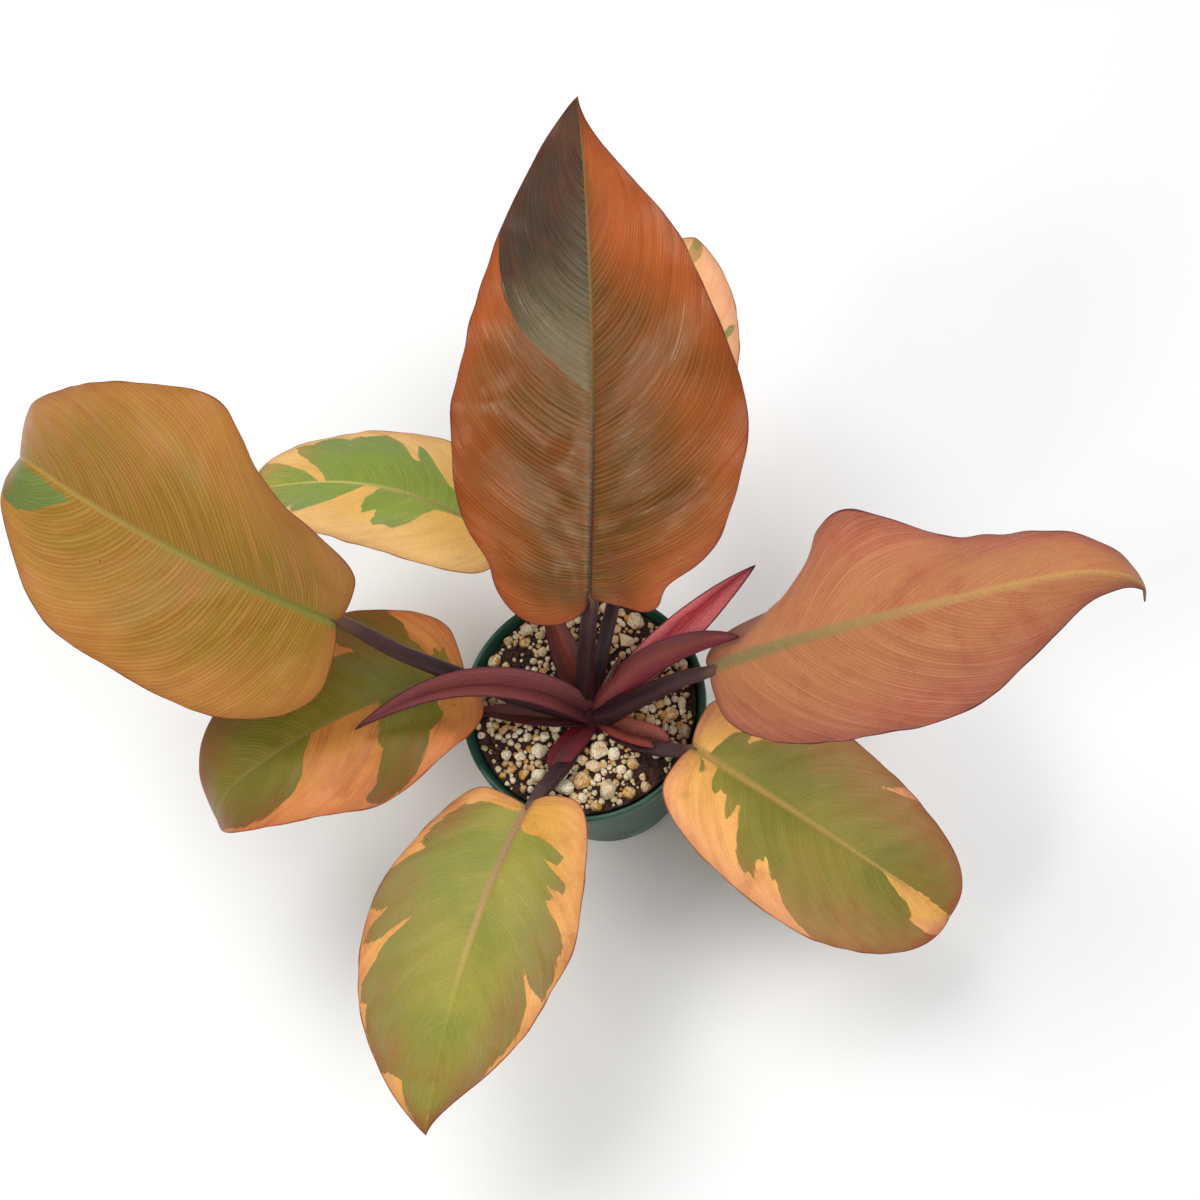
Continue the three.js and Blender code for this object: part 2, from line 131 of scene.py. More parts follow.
# A leaf starts at base, where its stalk ends. head and pitch are the midrib's first direction, and sweep,
# arch and hook turn it on the way to the tip. roll and twist turn the blade about the midrib. Each half has
# its width, the length of the lobe beside the stalk, where it is widest, how full and how pointed it runs
# out, its fold, its waves as places along the leaf with their heights, and nicks in its margin as places
# with their reach and depth. stalk holds the points that bend the stalk, thick its first and last radius.
LEAVES = {
    "back": dict(
        base=(12.5, 7.5, 118), length=135,
        head=61, sweep=11, pitch=36, arch=-16, hook=9, roll=-30, twist=18,
        left=dict(
            width=42.5, lobe=11, widest=0.26, full=2, point=0.88, fold=7, waves=[(0, 3), (0.25, 4)],
            nicks=[(6, 7, 3)],
        ),
        right=dict(
            width=41.5, lobe=1.5, widest=0.3, full=2.7, point=1.85, fold=2,
            waves=[(0, -6), (0.25, -12), (0.5, 6)], nicks=[(5.5, 6.5, 6)],
        ),
        stalk=[(1.5, 1, 63), (2.5, 1.5, 84), (9, 3, 102)], thick=(3.3, 2), slot="leaf_orange",
    ),
    "left": dict(
        base=(-57, 30, 118), length=137,
        head=139, sweep=-22, pitch=18, arch=-32, hook=-46, roll=-62, twist=31,
        left=dict(
            width=43, lobe=4, widest=0.28, full=1.8, point=1.12, fold=23, waves=[(0.25, -2.5), (0.5, 7)],
        ),
        right=dict(
            width=44.5, lobe=4, widest=0.42, full=1.85, point=1.23, fold=4, waves=[(0, 8), (0.25, -15)],
        ),
        stalk=[(-1, -3, 64), (-12, 1, 72), (-36, 16, 88)], thick=(3.1, 2.2), slot="leaf_ochre",
    ),
    "rear_left": dict(
        base=(-5, 54, 84), length=99,
        head=122, sweep=36, pitch=5, arch=-29, hook=10, roll=18, twist=0,
        left=dict(width=28.5, lobe=5.5, widest=0.39, full=2, point=0.63, fold=6, waves=[]),
        right=dict(width=26.5, lobe=5, widest=0.44, full=1.45, point=0.28, fold=3, waves=[]),
        stalk=[(1, -1, 64), (1, 12, 72), (-1, 32, 80)], thick=(2.9, 1.9), slot="leaf_green",
        sheath=dict(base=(0.5, 0, 65), length=34, head=89, sweep=2, pitch=32, arch=-20, width=5.6, fold=34),
    ),
    "low_left": dict(
        base=(-31, 21, 73), length=100,
        head=181, sweep=13, pitch=23, arch=-50, hook=-49, roll=8, twist=0,
        left=dict(width=30, lobe=1.5, widest=0.41, full=1.9, point=1, fold=3, waves=[(0.25, -8.5)]),
        right=dict(width=32.5, lobe=1.5, widest=0.39, full=1.8, point=0.66, fold=6, waves=[(0.25, 3)]),
        stalk=[(-2, -4, 62), (-10, -3, 68), (-22, 8, 71)], thick=(2.6, 2), slot="leaf_green",
        sheath=dict(
            base=(-3, -5, 65), length=33, head=161, sweep=-12, pitch=20, arch=-16, width=4.8, fold=40,
        ),
    ),
    "front": dict(
        base=(-27, -27, 72), length=94,
        head=223, sweep=20, pitch=2, arch=-7, hook=0, roll=13, twist=-4,
        left=dict(
            width=30.5, lobe=7, widest=0.4, full=2.9, point=1.6, fold=6, waves=[(0.25, -5.5), (0.5, 2.5)],
        ),
        right=dict(
            width=32, lobe=1.5, widest=0.47, full=2, point=0.94, fold=5, waves=[(0, -3.5), (0.25, 2.5)],
        ),
        stalk=[(0, -7, 62), (-4, -13, 66), (-17, -21, 70)], thick=(3, 2.1), slot="leaf_green",
        sheath=dict(
            base=(-1, -8, 66), length=19, head=206, sweep=12, pitch=30, arch=-36, width=4.2, fold=-22,
        ),
    ),
    "low_right": dict(
        base=(25.5, -30, 73), length=94,
        head=-52, sweep=1, pitch=-17, arch=-14, hook=-6, roll=0, twist=3,
        left=dict(width=27.5, lobe=3.5, widest=0.41, full=1.3, point=0.36, fold=11, waves=[]),
        right=dict(width=31, lobe=3.2, widest=0.5, full=1.7, point=0.54, fold=10, waves=[]),
        stalk=[(3, -8, 62), (5, -16, 67), (14, -27, 72)], thick=(3, 1.9), slot="leaf_green",
        sheath=dict(base=(4, -9, 65), length=23, head=-54, sweep=18, pitch=20, arch=-10, width=4.6, fold=34),
    ),
    "right": dict(
        base=(37, -20.5, 105), length=138,
        head=-32, sweep=12, pitch=52, arch=-32, hook=-100, roll=-20, twist=4,
        left=dict(
            width=27, lobe=8, widest=0.32, full=1.55, point=1, fold=5,
            waves=[(-0.04, -9), (0.27, 14), (0.5, -7)],
        ),
        right=dict(width=29, lobe=5, widest=0.39, full=2.2, point=2.3, fold=-60, waves=[(0, -2), (0.5, -3)]),
        stalk=[(4, -5, 63), (7, -9, 72), (24, -15, 92)], thick=(4.2, 1.8), slot="leaf_salmon",
    ),
    "rear_right": dict(
        base=(40, 50, 86), length=99.5,
        head=64, sweep=-14, pitch=15, arch=-28, hook=3, roll=0, twist=0,
        left=dict(width=29, lobe=5, widest=0.42, full=2.1, point=0.8, fold=8, waves=[]),
        right=dict(width=28, lobe=5, widest=0.39, full=2.1, point=0.86, fold=8, waves=[]),
        stalk=[(3, -1, 64), (6, 2, 77), (22, 20, 87)], thick=(2.5, 1.8), slot="leaf_peach",
        sheath=dict(base=(5, -3, 68), length=20, head=22, sweep=0, pitch=64, arch=-12, width=1.3, fold=30),
    ),
}

# Bracts, folded along the keel; left and right hold what differs between the halves
BRACTS = {
    "left": dict(
        base=(-0.6, -4.2, 66.2), length=76.5, head=142, sweep=48, pitch=57, arch=-83, hook=20, roll=-6,
        width=6.6, fold=42, left=dict(widest=0.25), right=dict(widest=0.25),
    ),
    "right": dict(
        base=(0.5, -4.5, 65.5), length=67, head=9, sweep=-45, pitch=57, arch=-28, hook=-7, roll=12,
        width=5.4, fold=-30, left=dict(widest=0.14, full=2.6, point=0.7),
        right=dict(widest=0.14, full=2.6, point=0.7),
    ),
    "upright": dict(
        base=(5, -4, 67), length=67, head=12, sweep=-6, pitch=43, arch=-21, hook=-5, roll=0,
        width=5, fold=28, left=dict(width=4), right=dict(width=8, widest=0.5, fold=8),
    ),
}

# Colours of each bract and of each stalk's wing: inner face by the keel and beyond it, then the outer face
BRACT_SKINS = {
    "left": (((0.43, 0.21, 0.20), (0.49, 0.25, 0.245)), ((0.27, 0.10, 0.11), (0.33, 0.135, 0.14))),
    "right": (((0.55, 0.275, 0.24), (0.49, 0.18, 0.22)), ((0.45, 0.23, 0.21), (0.36, 0.125, 0.175))),
    # The upright bract's pale pink beyond its keel, on both faces, is partly its own paler colour and partly
    # a painted sheen
    "upright": (((0.76, 0.20, 0.26), (0.98, 0.50, 0.52)), ((0.76, 0.24, 0.30), (0.92, 0.43, 0.47))),
}
WING_SKINS = {
    "rear_left": (((0.55, 0.27, 0.20), (0.34, 0.16, 0.15)), ((0.30, 0.15, 0.15), (0.26, 0.13, 0.14))),
    "low_left": (((0.33, 0.20, 0.15), (0.30, 0.14, 0.14)), ((0.26, 0.13, 0.14), (0.28, 0.14, 0.14))),
    "front": (((0.27, 0.055, 0.08), (0.41, 0.085, 0.12)), ((0.32, 0.11, 0.13), (0.40, 0.12, 0.16))),
    "low_right": (((0.33, 0.13, 0.11), (0.55, 0.27, 0.21)), ((0.33, 0.18, 0.19), (0.38, 0.21, 0.20))),
    "rear_right": (((0.22, 0.12, 0.12), (0.50, 0.42, 0.40)), ((0.26, 0.15, 0.15), (0.66, 0.58, 0.55))),
}
BRACT_RIM = (0.30, 0.09, 0.15)
WING_RIM = (0.28, 0.09, 0.13)
RED_WING_RIM = (0.55, 0.14, 0.18)

# Variegation. A sector is an outline on one half of a leaf, as places along its margin from base to tip
# with how far out from the midrib each lies, both as shares.
SECTORS = {
    "back": dict(
        left=[
            [
                (0.55, 0), (0.6, 0.27), (0.65, 0.55), (0.69, 0.72), (0.74, 0.87), (0.81, 1.05), (1, 1.05),
                (1, 0),
            ],
        ],
    ),
    "left": dict(
        left=[
            [
                (0.75, 0.08), (0.78, 0.3), (0.8, 0.5), (0.82, 0.65), (0.86, 0.85), (0.93, 1.05), (1, 1.05),
                (1, 0.1),
            ],
        ],
    ),
    "rear_left": dict(
        left=[
            [
                (0.2, -0.02), (0.385, 0.08), (0.4, 0.2), (0.41, 0.36), (0.44, 0.55), (0.47, 0.53),
                (0.5, 0.58), (0.525, 0.52), (0.53, 0.42), (0.545, 0.33), (0.57, 0.45), (0.6, 0.31),
                (0.61, 0.2), (0.6, -0.02),
            ],
            [
                (0.65, -0.02), (0.66, 0.1), (0.685, 0.32), (0.72, 0.58), (0.75, 0.77), (0.775, 0.7),
                (0.78, 0.62), (0.79, 0.7), (0.85, 0.73), (0.9, 0.95), (1, 1.05), (1, -0.02),
            ],
        ],
        right=[
            [
                (0.1, -0.02), (0.2, 0.12), (0.4, 0.3), (0.45, 0.46), (0.5, 0.73), (0.515, 0.78),
                (0.52, 0.65), (0.51, 0.48), (0.53, 0.5), (0.56, 0.75), (0.6, 0.9), (0.64, 0.86),
                (0.68, 0.88), (0.7, 0.82), (0.74, 0.95), (0.77, 0.96), (0.8, 0.9), (0.84, 0.94),
                (0.85, 0.78), (0.83, 0.45), (0.8, 0.2), (0.78, -0.02),
            ],
            [(0.8, -0.02), (0.85, 0.28), (0.89, 0.55), (0.91, 0.76), (0.94, 1.05), (1, 1.05), (1, -0.02)],
        ],
    ),
    "low_left": dict(
        left=[
            [
                (0.08, -0.02), (0.16, 0.12), (0.24, 0.3), (0.24, 0.48), (0.27, 0.54), (0.3, 0.58),
                (0.31, 0.72), (0.34, 0.85), (0.36, 0.93), (0.41, 0.97), (0.46, 0.99), (0.49, 0.95),
                (0.5, 0.88), (0.47, 0.78), (0.46, 0.65), (0.44, 0.5), (0.45, 0.4), (0.44, 0.24),
                (0.42, -0.02),
            ],
            [
                (0.62, -0.02), (0.65, 0.2), (0.66, 0.45), (0.68, 0.66), (0.7, 0.72), (0.74, 0.87),
                (0.79, 0.95), (0.86, 0.9), (0.92, 1.05), (1, 1.05), (1, -0.02),
            ],
        ],
        right=[
            [(0.1, 0.05), (0.12, 0.3), (0.135, 0.53), (0.15, 0.4), (0.17, 0.49), (0.185, 0.3), (0.17, 0.05)],
            [
                (0.17, -0.02), (0.2, 0.28), (0.225, 0.48), (0.245, 0.55), (0.25, 0.76), (0.29, 1.05),
                (0.42, 1.05), (0.43, 0.8), (0.44, 0.62), (0.41, 0.5), (0.5, 0.56), (0.55, 0.82),
                (0.62, 1.05), (1, 1.05), (1, -0.02),
            ],
        ],
    ),
    "front": dict(
        left=[
            [
                (0.16, 0.04), (0.19, 0.13), (0.21, 0.3), (0.23, 0.45), (0.25, 0.55), (0.28, 0.7),
                (0.305, 0.64), (0.295, 0.5), (0.285, 0.42), (0.31, 0.52), (0.35, 0.76), (0.38, 0.78),
                (0.375, 0.68), (0.36, 0.54), (0.38, 0.6), (0.4, 0.67), (0.405, 0.56), (0.43, 0.64),
                (0.46, 0.78), (0.5, 0.89), (0.53, 0.87), (0.57, 0.95), (0.63, 0.97), (0.62, 0.8),
                (0.61, 0.72), (0.575, 0.55), (0.61, 0.66), (0.65, 0.82), (0.7, 0.9), (0.75, 0.93),
                (0.8, 0.94), (0.88, 1.05), (1, 1.05), (1, -0.02), (0.2, -0.02),
            ],
        ],
        right=[
            [
                (0.07, -0.02), (0.1, 0.2), (0.12, 0.37), (0.14, 0.55), (0.165, 0.7), (0.19, 0.76),
                (0.2, 0.82), (0.24, 0.87), (0.28, 0.9), (0.33, 0.88), (0.342, 0.77), (0.36, 0.86),
                (0.39, 0.96), (0.42, 1.05), (0.48, 1.03), (0.495, 0.9), (0.49, 0.8), (0.52, 0.92),
                (0.56, 0.98), (0.565, 0.82), (0.54, 0.68), (0.515, 0.55), (0.54, 0.6), (0.57, 0.74),
                (0.59, 0.8), (0.605, 0.8), (0.64, 0.95), (0.68, 0.98), (0.69, 0.92), (0.74, 0.98),
                (0.84, 1.0), (0.85, 0.88), (0.88, 0.7), (0.94, 0.85), (1, 1.05), (1, -0.02),
            ],
        ],
    ),
    "low_right": dict(
        left=[
            [
                (0.13, 0.04), (0.15, 0.16), (0.18, 0.3), (0.21, 0.43), (0.24, 0.5), (0.268, 0.5),
                (0.268, 0.34), (0.3, 0.46), (0.33, 0.62), (0.36, 0.7), (0.4, 0.9), (0.46, 1.05),
                (0.66, 1.05), (0.65, 0.9), (0.62, 0.74), (0.67, 0.88), (0.72, 1.05), (1, 1.05), (1, 0.1),
                (0.9, 0.05), (0.78, -0.02), (0.2, -0.02),
            ],
        ],
        right=[
            [(0.1, 0.1), (0.125, 0.18), (0.14, 0.24), (0.162, 0.27), (0.16, 0.18), (0.14, 0.1)],
            [
                (0.2, 0.03), (0.21, 0.2), (0.23, 0.3), (0.25, 0.3), (0.26, 0.22), (0.285, 0.23),
                (0.3, 0.35), (0.317, 0.44), (0.327, 0.36), (0.33, 0.24), (0.34, 0.23), (0.355, 0.4),
                (0.37, 0.62), (0.38, 0.74), (0.4, 0.78), (0.41, 0.73), (0.43, 0.77), (0.43, 0.6),
                (0.44, 0.54), (0.45, 0.56), (0.457, 0.47), (0.47, 0.6), (0.48, 0.68), (0.49, 0.62),
                (0.505, 0.8), (0.53, 0.9), (0.57, 0.96), (0.62, 1.05), (0.94, 1.05), (0.9, 0.75),
                (0.87, 0.55), (0.88, 0.45), (0.87, 0.27), (0.84, 0.15), (0.8, 0.02), (0.77, -0.02),
            ],
        ],
    ),
    "right": dict(),
    "rear_right": dict(
        left=[[(0.3, -0.02), (0.36, 0.4), (0.4, 0.75), (0.47, 0.6), (0.5, 0.3), (0.48, -0.02)]],
        right=[
            [(0.615, 0.8), (0.63, 0.93), (0.65, 0.95), (0.655, 0.85), (0.64, 0.78)],
            [(0.86, -0.02), (0.9, 0.35), (0.93, 0.7), (0.97, 1.05), (1, 1.05), (1, -0.02)],
            [(0.15, -0.02), (0.2, 0.3), (0.28, 0.72), (0.34, 0.5), (0.3, -0.02)],
        ],
    ),
}

# What most blades share: roughness, clear coat, gloss, how far out the outer colour starts, how much it
# takes over towards the tip, how much stains a sector towards its tip, and where the midrib fades
LOOK_OF_MOST = dict(rough=0.42, coat=0.12, gloss=0.28, outer=1.0, fade=0.0, stain=1.0, rib_end=1.3)

# Colours of each blade, in sRGB: ground from midrib to margin, sectors from midrib to margin, streaks, the
# blush of its patches, midrib from base to tip, and the thin line at the margin. threads, bands, mottle and
# branches say how clearly each kind of vein and patch shows, core how far out the inner colour reaches, and
# frill how much the margin waves.
LOOKS = {
    "back": dict(
        ground=((0.36, 0.22, 0.03), (0.69, 0.31, 0.08)), sector=((0.41, 0.365, 0.26), (0.21, 0.145, 0.11)),
        streak=(0.66, 0.43, 0.19), blush=(0.54, 0.24, 0.07), rib=((0.22, 0.12, 0.10), (0.46, 0.38, 0.20)),
        rib_width=1.4, line=(0.42, 0.13, 0.09), rough=0.28, coat=0.05, gloss=0.5,
        threads=0.34, bands=0.4, mottle=0.3, branches=0.06, core=0.3, outer=1.25, fade=0.95, stain=0.25,
        frill=0.5,
    ),
    "left": dict(
        ground=((0.545, 0.415, 0.06), (0.70, 0.465, 0.19)), sector=((0.40, 0.48, 0.23), (0.28, 0.41, 0.20)),
        streak=(0.76, 0.57, 0.28), blush=(0.66, 0.37, 0.20), rib=((0.50, 0.49, 0.20), (0.66, 0.54, 0.24)),
        rib_width=2.6, line=(0.50, 0.24, 0.14),
        threads=0.5, bands=0.45, mottle=0.25, branches=0.05, core=0.25, frill=0.35,
    ),
    "rear_left": dict(
        ground=((0.96, 0.75, 0.37), (1.0, 0.80, 0.51)), sector=((0.59, 0.65, 0.26), (0.49, 0.59, 0.34)),
        streak=(0.98, 0.80, 0.55), blush=(0.80, 0.60, 0.30), rib=((0.58, 0.54, 0.26), (0.84, 0.78, 0.46)),
        rib_width=1.6, line=(0.60, 0.34, 0.20), coat=0.15,
        threads=0.3, bands=0.35, mottle=0.2, branches=0.1, core=0.15, frill=0.4,
    ),
    "low_left": dict(
        ground=((0.76, 0.50, 0.20), (0.84, 0.51, 0.28)), sector=((0.465, 0.43, 0.12), (0.43, 0.33, 0.11)),
        streak=(0.88, 0.60, 0.36), blush=(0.58, 0.30, 0.16), rib=((0.45, 0.42, 0.18), (0.50, 0.47, 0.23)),
        rib_width=1.5, line=(0.55, 0.20, 0.14),
        threads=0.3, bands=0.5, mottle=0.45, branches=0.05, core=0.15, frill=0.4,
    ),
    "front": dict(
        ground=((0.88, 0.65, 0.27), (0.93, 0.66, 0.39)), sector=((0.60, 0.58, 0.24), (0.55, 0.475, 0.27)),
        streak=(0.95, 0.73, 0.45), blush=(0.62, 0.34, 0.18), rib=((0.64, 0.50, 0.36), (0.80, 0.70, 0.40)),
        rib_width=2.1, line=(0.52, 0.20, 0.14),
        threads=0.16, bands=0.3, mottle=0.45, branches=0.06, core=0.25, stain=1.3, rib_end=0.7, frill=0.35,
    ),
    "low_right": dict(
        ground=((0.99, 0.74, 0.38), (1.0, 0.70, 0.47)), sector=((0.58, 0.54, 0.22), (0.66, 0.50, 0.29)),
        streak=(0.98, 0.74, 0.46), blush=(0.66, 0.33, 0.21), rib=((0.70, 0.58, 0.30), (0.72, 0.60, 0.32)),
        rib_width=2.0, line=(0.52, 0.20, 0.14),
        threads=0.18, bands=0.25, mottle=0.4, branches=0.05, core=0.2, stain=1.6, rib_end=1.0, frill=0.35,
    ),
    "right": dict(
        ground=((0.74, 0.48, 0.31), (0.705, 0.41, 0.32)), sector=((0.50, 0.48, 0.28), (0.50, 0.48, 0.28)),
        streak=(0.84, 0.60, 0.42), blush=(0.66, 0.31, 0.24), rib=((0.54, 0.49, 0.31), (0.76, 0.57, 0.35)),
        rib_width=2.9, line=(0.34, 0.12, 0.18), rough=0.5, coat=0.0,
        threads=0.25, bands=0.35, mottle=0.6, branches=0.35, core=0.2, frill=0.7,
    ),
    "rear_right": dict(
        ground=((0.96, 0.72, 0.48), (0.99, 0.73, 0.55)), sector=((0.54, 0.60, 0.29), (0.49, 0.57, 0.31)),
        streak=(0.97, 0.76, 0.55), blush=(0.93, 0.58, 0.40), rib=((0.70, 0.62, 0.34), (0.80, 0.70, 0.44)),
        rib_width=1.6, line=(0.55, 0.28, 0.20), coat=0.15,
        threads=0.3, bands=0.4, mottle=0.3, branches=0.1, core=0.15, frill=0.5,
    ),
}

# Creases in a blade: half, first and last place, how far they stand out and how wide they are
CREASES = {
    "back": [
        ("right", (0.26, 0.04), (0.37, 0.82), -1.7, 2.6), ("right", (0.19, 0.12), (0.29, 0.8), 1.8, 4.2),
        ("right", (0.06, 0.2), (0.12, 0.95), -1.7, 3.4), ("left", (0.42, 0.15), (0.56, 0.75), 1.9, 6.0),
        ("left", (0.3, 0.12), (0.46, 0.85), -0.9, 4.5), ("left", (0.12, 0.15), (0.24, 0.95), 1.5, 4.0),
    ],
    "left": [("right", (0.1, 0.15), (0.25, 0.9), -0.9, 4.0), ("left", (0.12, 0.2), (0.22, 0.9), 0.7, 4.0)],
    "right": [("right", (0.1, 0.1), (0.3, 0.8), 0.8, 4.0), ("left", (0.1, 0.2), (0.24, 0.8), -0.9, 3.4)],
}


def linear(color):
    """The colour that a shader takes, from sRGB."""
    channels = [c / 12.92 if c <= 0.04045 else ((c + 0.055) / 1.055) ** 2.4 for c in color]
    return (*channels, 1.0)


class Graph:
    """The shader nodes of one material."""

    def __init__(self, name, **settings):
        self.material = bpy.data.materials.new(name)
        self.material.use_nodes = True
        self.tree = self.material.node_tree
        self.shader = self.tree.nodes["Principled BSDF"]
        for key, value in settings.items():
            self.set(key.replace("_", " "), value)

    def set(self, socket, value):
        self.join(self.shader, socket, value)

    def join(self, node, socket, value):
        if isinstance(value, bpy.types.NodeSocket):
            self.tree.links.new(value, node.inputs[socket])
        else:
            node.inputs[socket].default_value = value

    def add(self, kind, inputs, output=0, **settings):
        node = self.tree.nodes.new("ShaderNode" + kind)
        for key, value in settings.items():
            setattr(node, key, value)
        for socket, value in inputs.items():
            self.join(node, socket, value)
        return node.outputs[output]

    def math(self, operation, a, b=0.0):
        return self.add("Math", {0: a, 1: b}, operation=operation)

    def plus(self, a, b):
        return self.math("ADD", a, b)

    def times(self, a, b):
        return self.math("MULTIPLY", a, b)

    def ease(self, value, low, high, start=0.0, end=1.0):
        inputs = {"Value": value, "From Min": low, "From Max": high, "To Min": start, "To Max": end}
        return self.add("MapRange", inputs, interpolation_type="SMOOTHSTEP")

    def mix(self, factor, a, b):
        """Mixes two colours, of which those given as plain numbers are in sRGB."""
        a, b = (linear(color) if isinstance(color, tuple) else color for color in (a, b))
        return self.add("Mix", {0: factor, 6: a, 7: b}, output=2, data_type="RGBA")

    def lay(self, under, color, value, low, high, start=0.0, end=1.0):
        """Lays another colour over one, as far as a value lies in its range."""
        return self.mix(self.ease(value, low, high, start, end), under, color)

    def noise(self, vector, scale=1.0, detail=2.0, roughness=0.5):
        inputs = {"Vector": vector, "Scale": scale, "Detail": detail, "Roughness": roughness}
        return self.add("TexNoise", inputs)

    def cells(self, vector, scale):
        return self.add("TexVoronoi", {"Vector": vector, "Scale": scale})

    def place(self):
        return self.add("TexCoord", {}, output="Object")

    def attribute(self, name):
        return self.add("Attribute", {}, output="Fac", attribute_name=name)

    def bump(self, height, distance, under=None):
        inputs = {"Height": height, "Distance": distance}
        if under is not None:
            inputs["Normal"] = under
        return self.add("Bump", inputs)


def smooth(x):
    """Eases from 0 to 1 as x does, and stays there."""
    x = np.clip(x, 0, 1)
    return x * x * (3 - 2 * x)


def unit(ways):
    """Directions of length 1."""
    return ways / np.linalg.norm(ways, axis=1)[:, None]


class Midrib:
    """Point and frame at any distance along a leaf's midrib, in millimetres."""

    def __init__(self, leaf, steps=60):
        u = np.linspace(0, 1, steps + 1)
        hook = leaf.get("hook", 0) * smooth((u - 0.72) / 0.28)
        pitch = np.radians(leaf["pitch"] + leaf["arch"] * u + hook)
        head = np.radians(leaf["head"] + leaf["sweep"] * u)
        roll = np.radians(leaf.get("roll", 0) + leaf.get("twist", 0) * u)[:, None]
        ahead = np.stack([np.cos(pitch) * np.cos(head), np.cos(pitch) * np.sin(head), np.sin(pitch)], 1)
        level = np.stack([-np.sin(head), np.cos(head), 0 * head], 1)
        side = level * np.cos(roll) + np.cross(ahead, level) * np.sin(roll)
        step = (ahead[1:] + ahead[:-1]) / 2 * leaf["length"] / steps
        point = np.array(leaf["base"], float) + np.vstack([np.zeros(3), np.cumsum(step, 0)])
        self.length = leaf["length"]
        self.at = u * self.length
        self.table = np.hstack([point, ahead, side, np.cross(ahead, side)])

    def __call__(self, a):
        inside = np.clip(a, 0, self.length)
        row = np.stack([np.interp(inside, self.at, column) for column in self.table.T], -1)
        point, ahead, side, up = row[..., :3], row[..., 3:6], row[..., 6:9], row[..., 9:]
        return point + ahead * (a - inside)[..., None], ahead, side, up


def outline(length, half, steps=(60, 120, 180)):
    """One half's flat edge: round the lobe, out to the widest place, in to the tip."""
    width, lobe = half["width"], half["lobe"]
    shoulder = 0.42 * width
    wide = half["widest"] * length
    f = np.pi / 2 * (1 - np.arange(steps[0] + 1) / steps[0])
    round_lobe = [-lobe * np.cos(f), shoulder * (1 - np.sin(f))]
    f = np.pi / 2 * np.arange(1, steps[1] + 1) / steps[1]
    outward = [-lobe + (wide + lobe) * (1 - np.cos(f)), shoulder + (width - shoulder) * np.sin(f)]
    x = np.sin(np.pi / 2 * np.arange(1, steps[2] + 1) / steps[2])
    narrowing = np.maximum(1 - x ** half["full"], 0) ** half["point"]
    inward = [wide + (length - wide) * x, width * narrowing]
    edge = np.hstack([round_lobe, outward, inward]).T.copy()
    for place, reach, depth in half.get("nicks", []):
        outer = smooth((edge[:, 1] / width - 0.4) / 0.4)
        edge[:, 1] -= depth * outer * np.exp(-(((edge[:, 0] - place) / reach) ** 2))
    return edge


class Blade:
    """A leaf's flat outline and its bent surface, in millimetres."""

    def __init__(self, leaf):
        self.length = leaf["length"]
        self.rib = Midrib(leaf)
        self.halves = [leaf["left"], leaf["right"]]
        edges = [outline(self.length, half) for half in self.halves]
        steps = sum(np.hypot(*np.diff(edge, axis=0).T) for edge in edges)
        reach = np.concatenate([[0], np.cumsum(steps)])
        self.reach = reach / reach[-1]
        self.edges = edges

    def flat(self, k, q, v):
        """Distance along and off the midrib of a place given as shares of the margin and of the width."""
        edge_a, edge_b = (np.interp(q, self.reach, self.edges[k][:, i]) for i in (0, 1))
        start = self.length * np.clip(q, 0, 1) ** 1.5
        a = start * (1 - v) ** 2 + 2 * (start + 0.25 * (edge_a - start)) * v * (1 - v) + edge_a * v * v
        return a, 1.2 * edge_b * v * (1 - v) + edge_b * v * v

    def bend(self, k, a, b):
        half = self.halves[k]
        point, _, side, up = self.rib(a)
        v = b / half["width"]
        lift = b * np.sin(np.radians(half["fold"]))
        for where, height in half["waves"]:
            lift = lift + height * v * v * np.exp(-(((a / self.length - 0.12 * v - where) / 0.16) ** 2))
        across = (1 - 2 * k) * b * np.cos(np.radians(half["fold"]))
        return point + side * across[..., None] + up * lift[..., None]


def line_distance(points, line):
    """Distance from each point to a closed line."""
    ahead = np.roll(line, -1, 0) - line
    gap = points[:, None] - line[None]
    share = np.clip((gap * ahead).sum(-1) / np.maximum((ahead ** 2).sum(-1), 1e-9), 0, 1)
    return np.linalg.norm(gap - share[..., None] * ahead, axis=-1).min(1)


def inside(points, line):
    """Says which points a closed line goes round."""
    x, y = (points[:, None] - line[None]).transpose(2, 0, 1)
    ahead_x, ahead_y = (np.roll(line, -1, 0) - line).T
    crosses = (y < 0) != (y < ahead_y)
    slope = y * ahead_x / np.where(np.abs(ahead_y) < 1e-9, 1e-9, ahead_y)
    return (crosses & (x < slope)).sum(1) % 2 == 1


def sector_field(blade, k, outlines, a, b):
    """How far inside a colour sector each place lies, in millimetres, negative outside."""
    field = np.full(a.size, -20.0)
    points = np.stack([a.ravel(), b.ravel()], 1)
    for rough in outlines:
        rough = np.array(rough, float)
        share = np.linspace(0, 1, 6)[:-1, None]
        q, v = np.vstack([p + (n - p) * share for p, n in zip(rough, np.roll(rough, -1, 0))]).T
        line = np.stack(blade.flat(k, q, v), 1)
        distance = line_distance(points, line)
        field = np.maximum(field, np.where(inside(points, line), distance, -distance))
    return field.reshape(a.shape)


def shown(name, data):
    """A new object of the scene that holds this data."""
    piece = bpy.data.objects.new(name, data)
    bpy.context.scene.collection.objects.link(piece)
    return piece


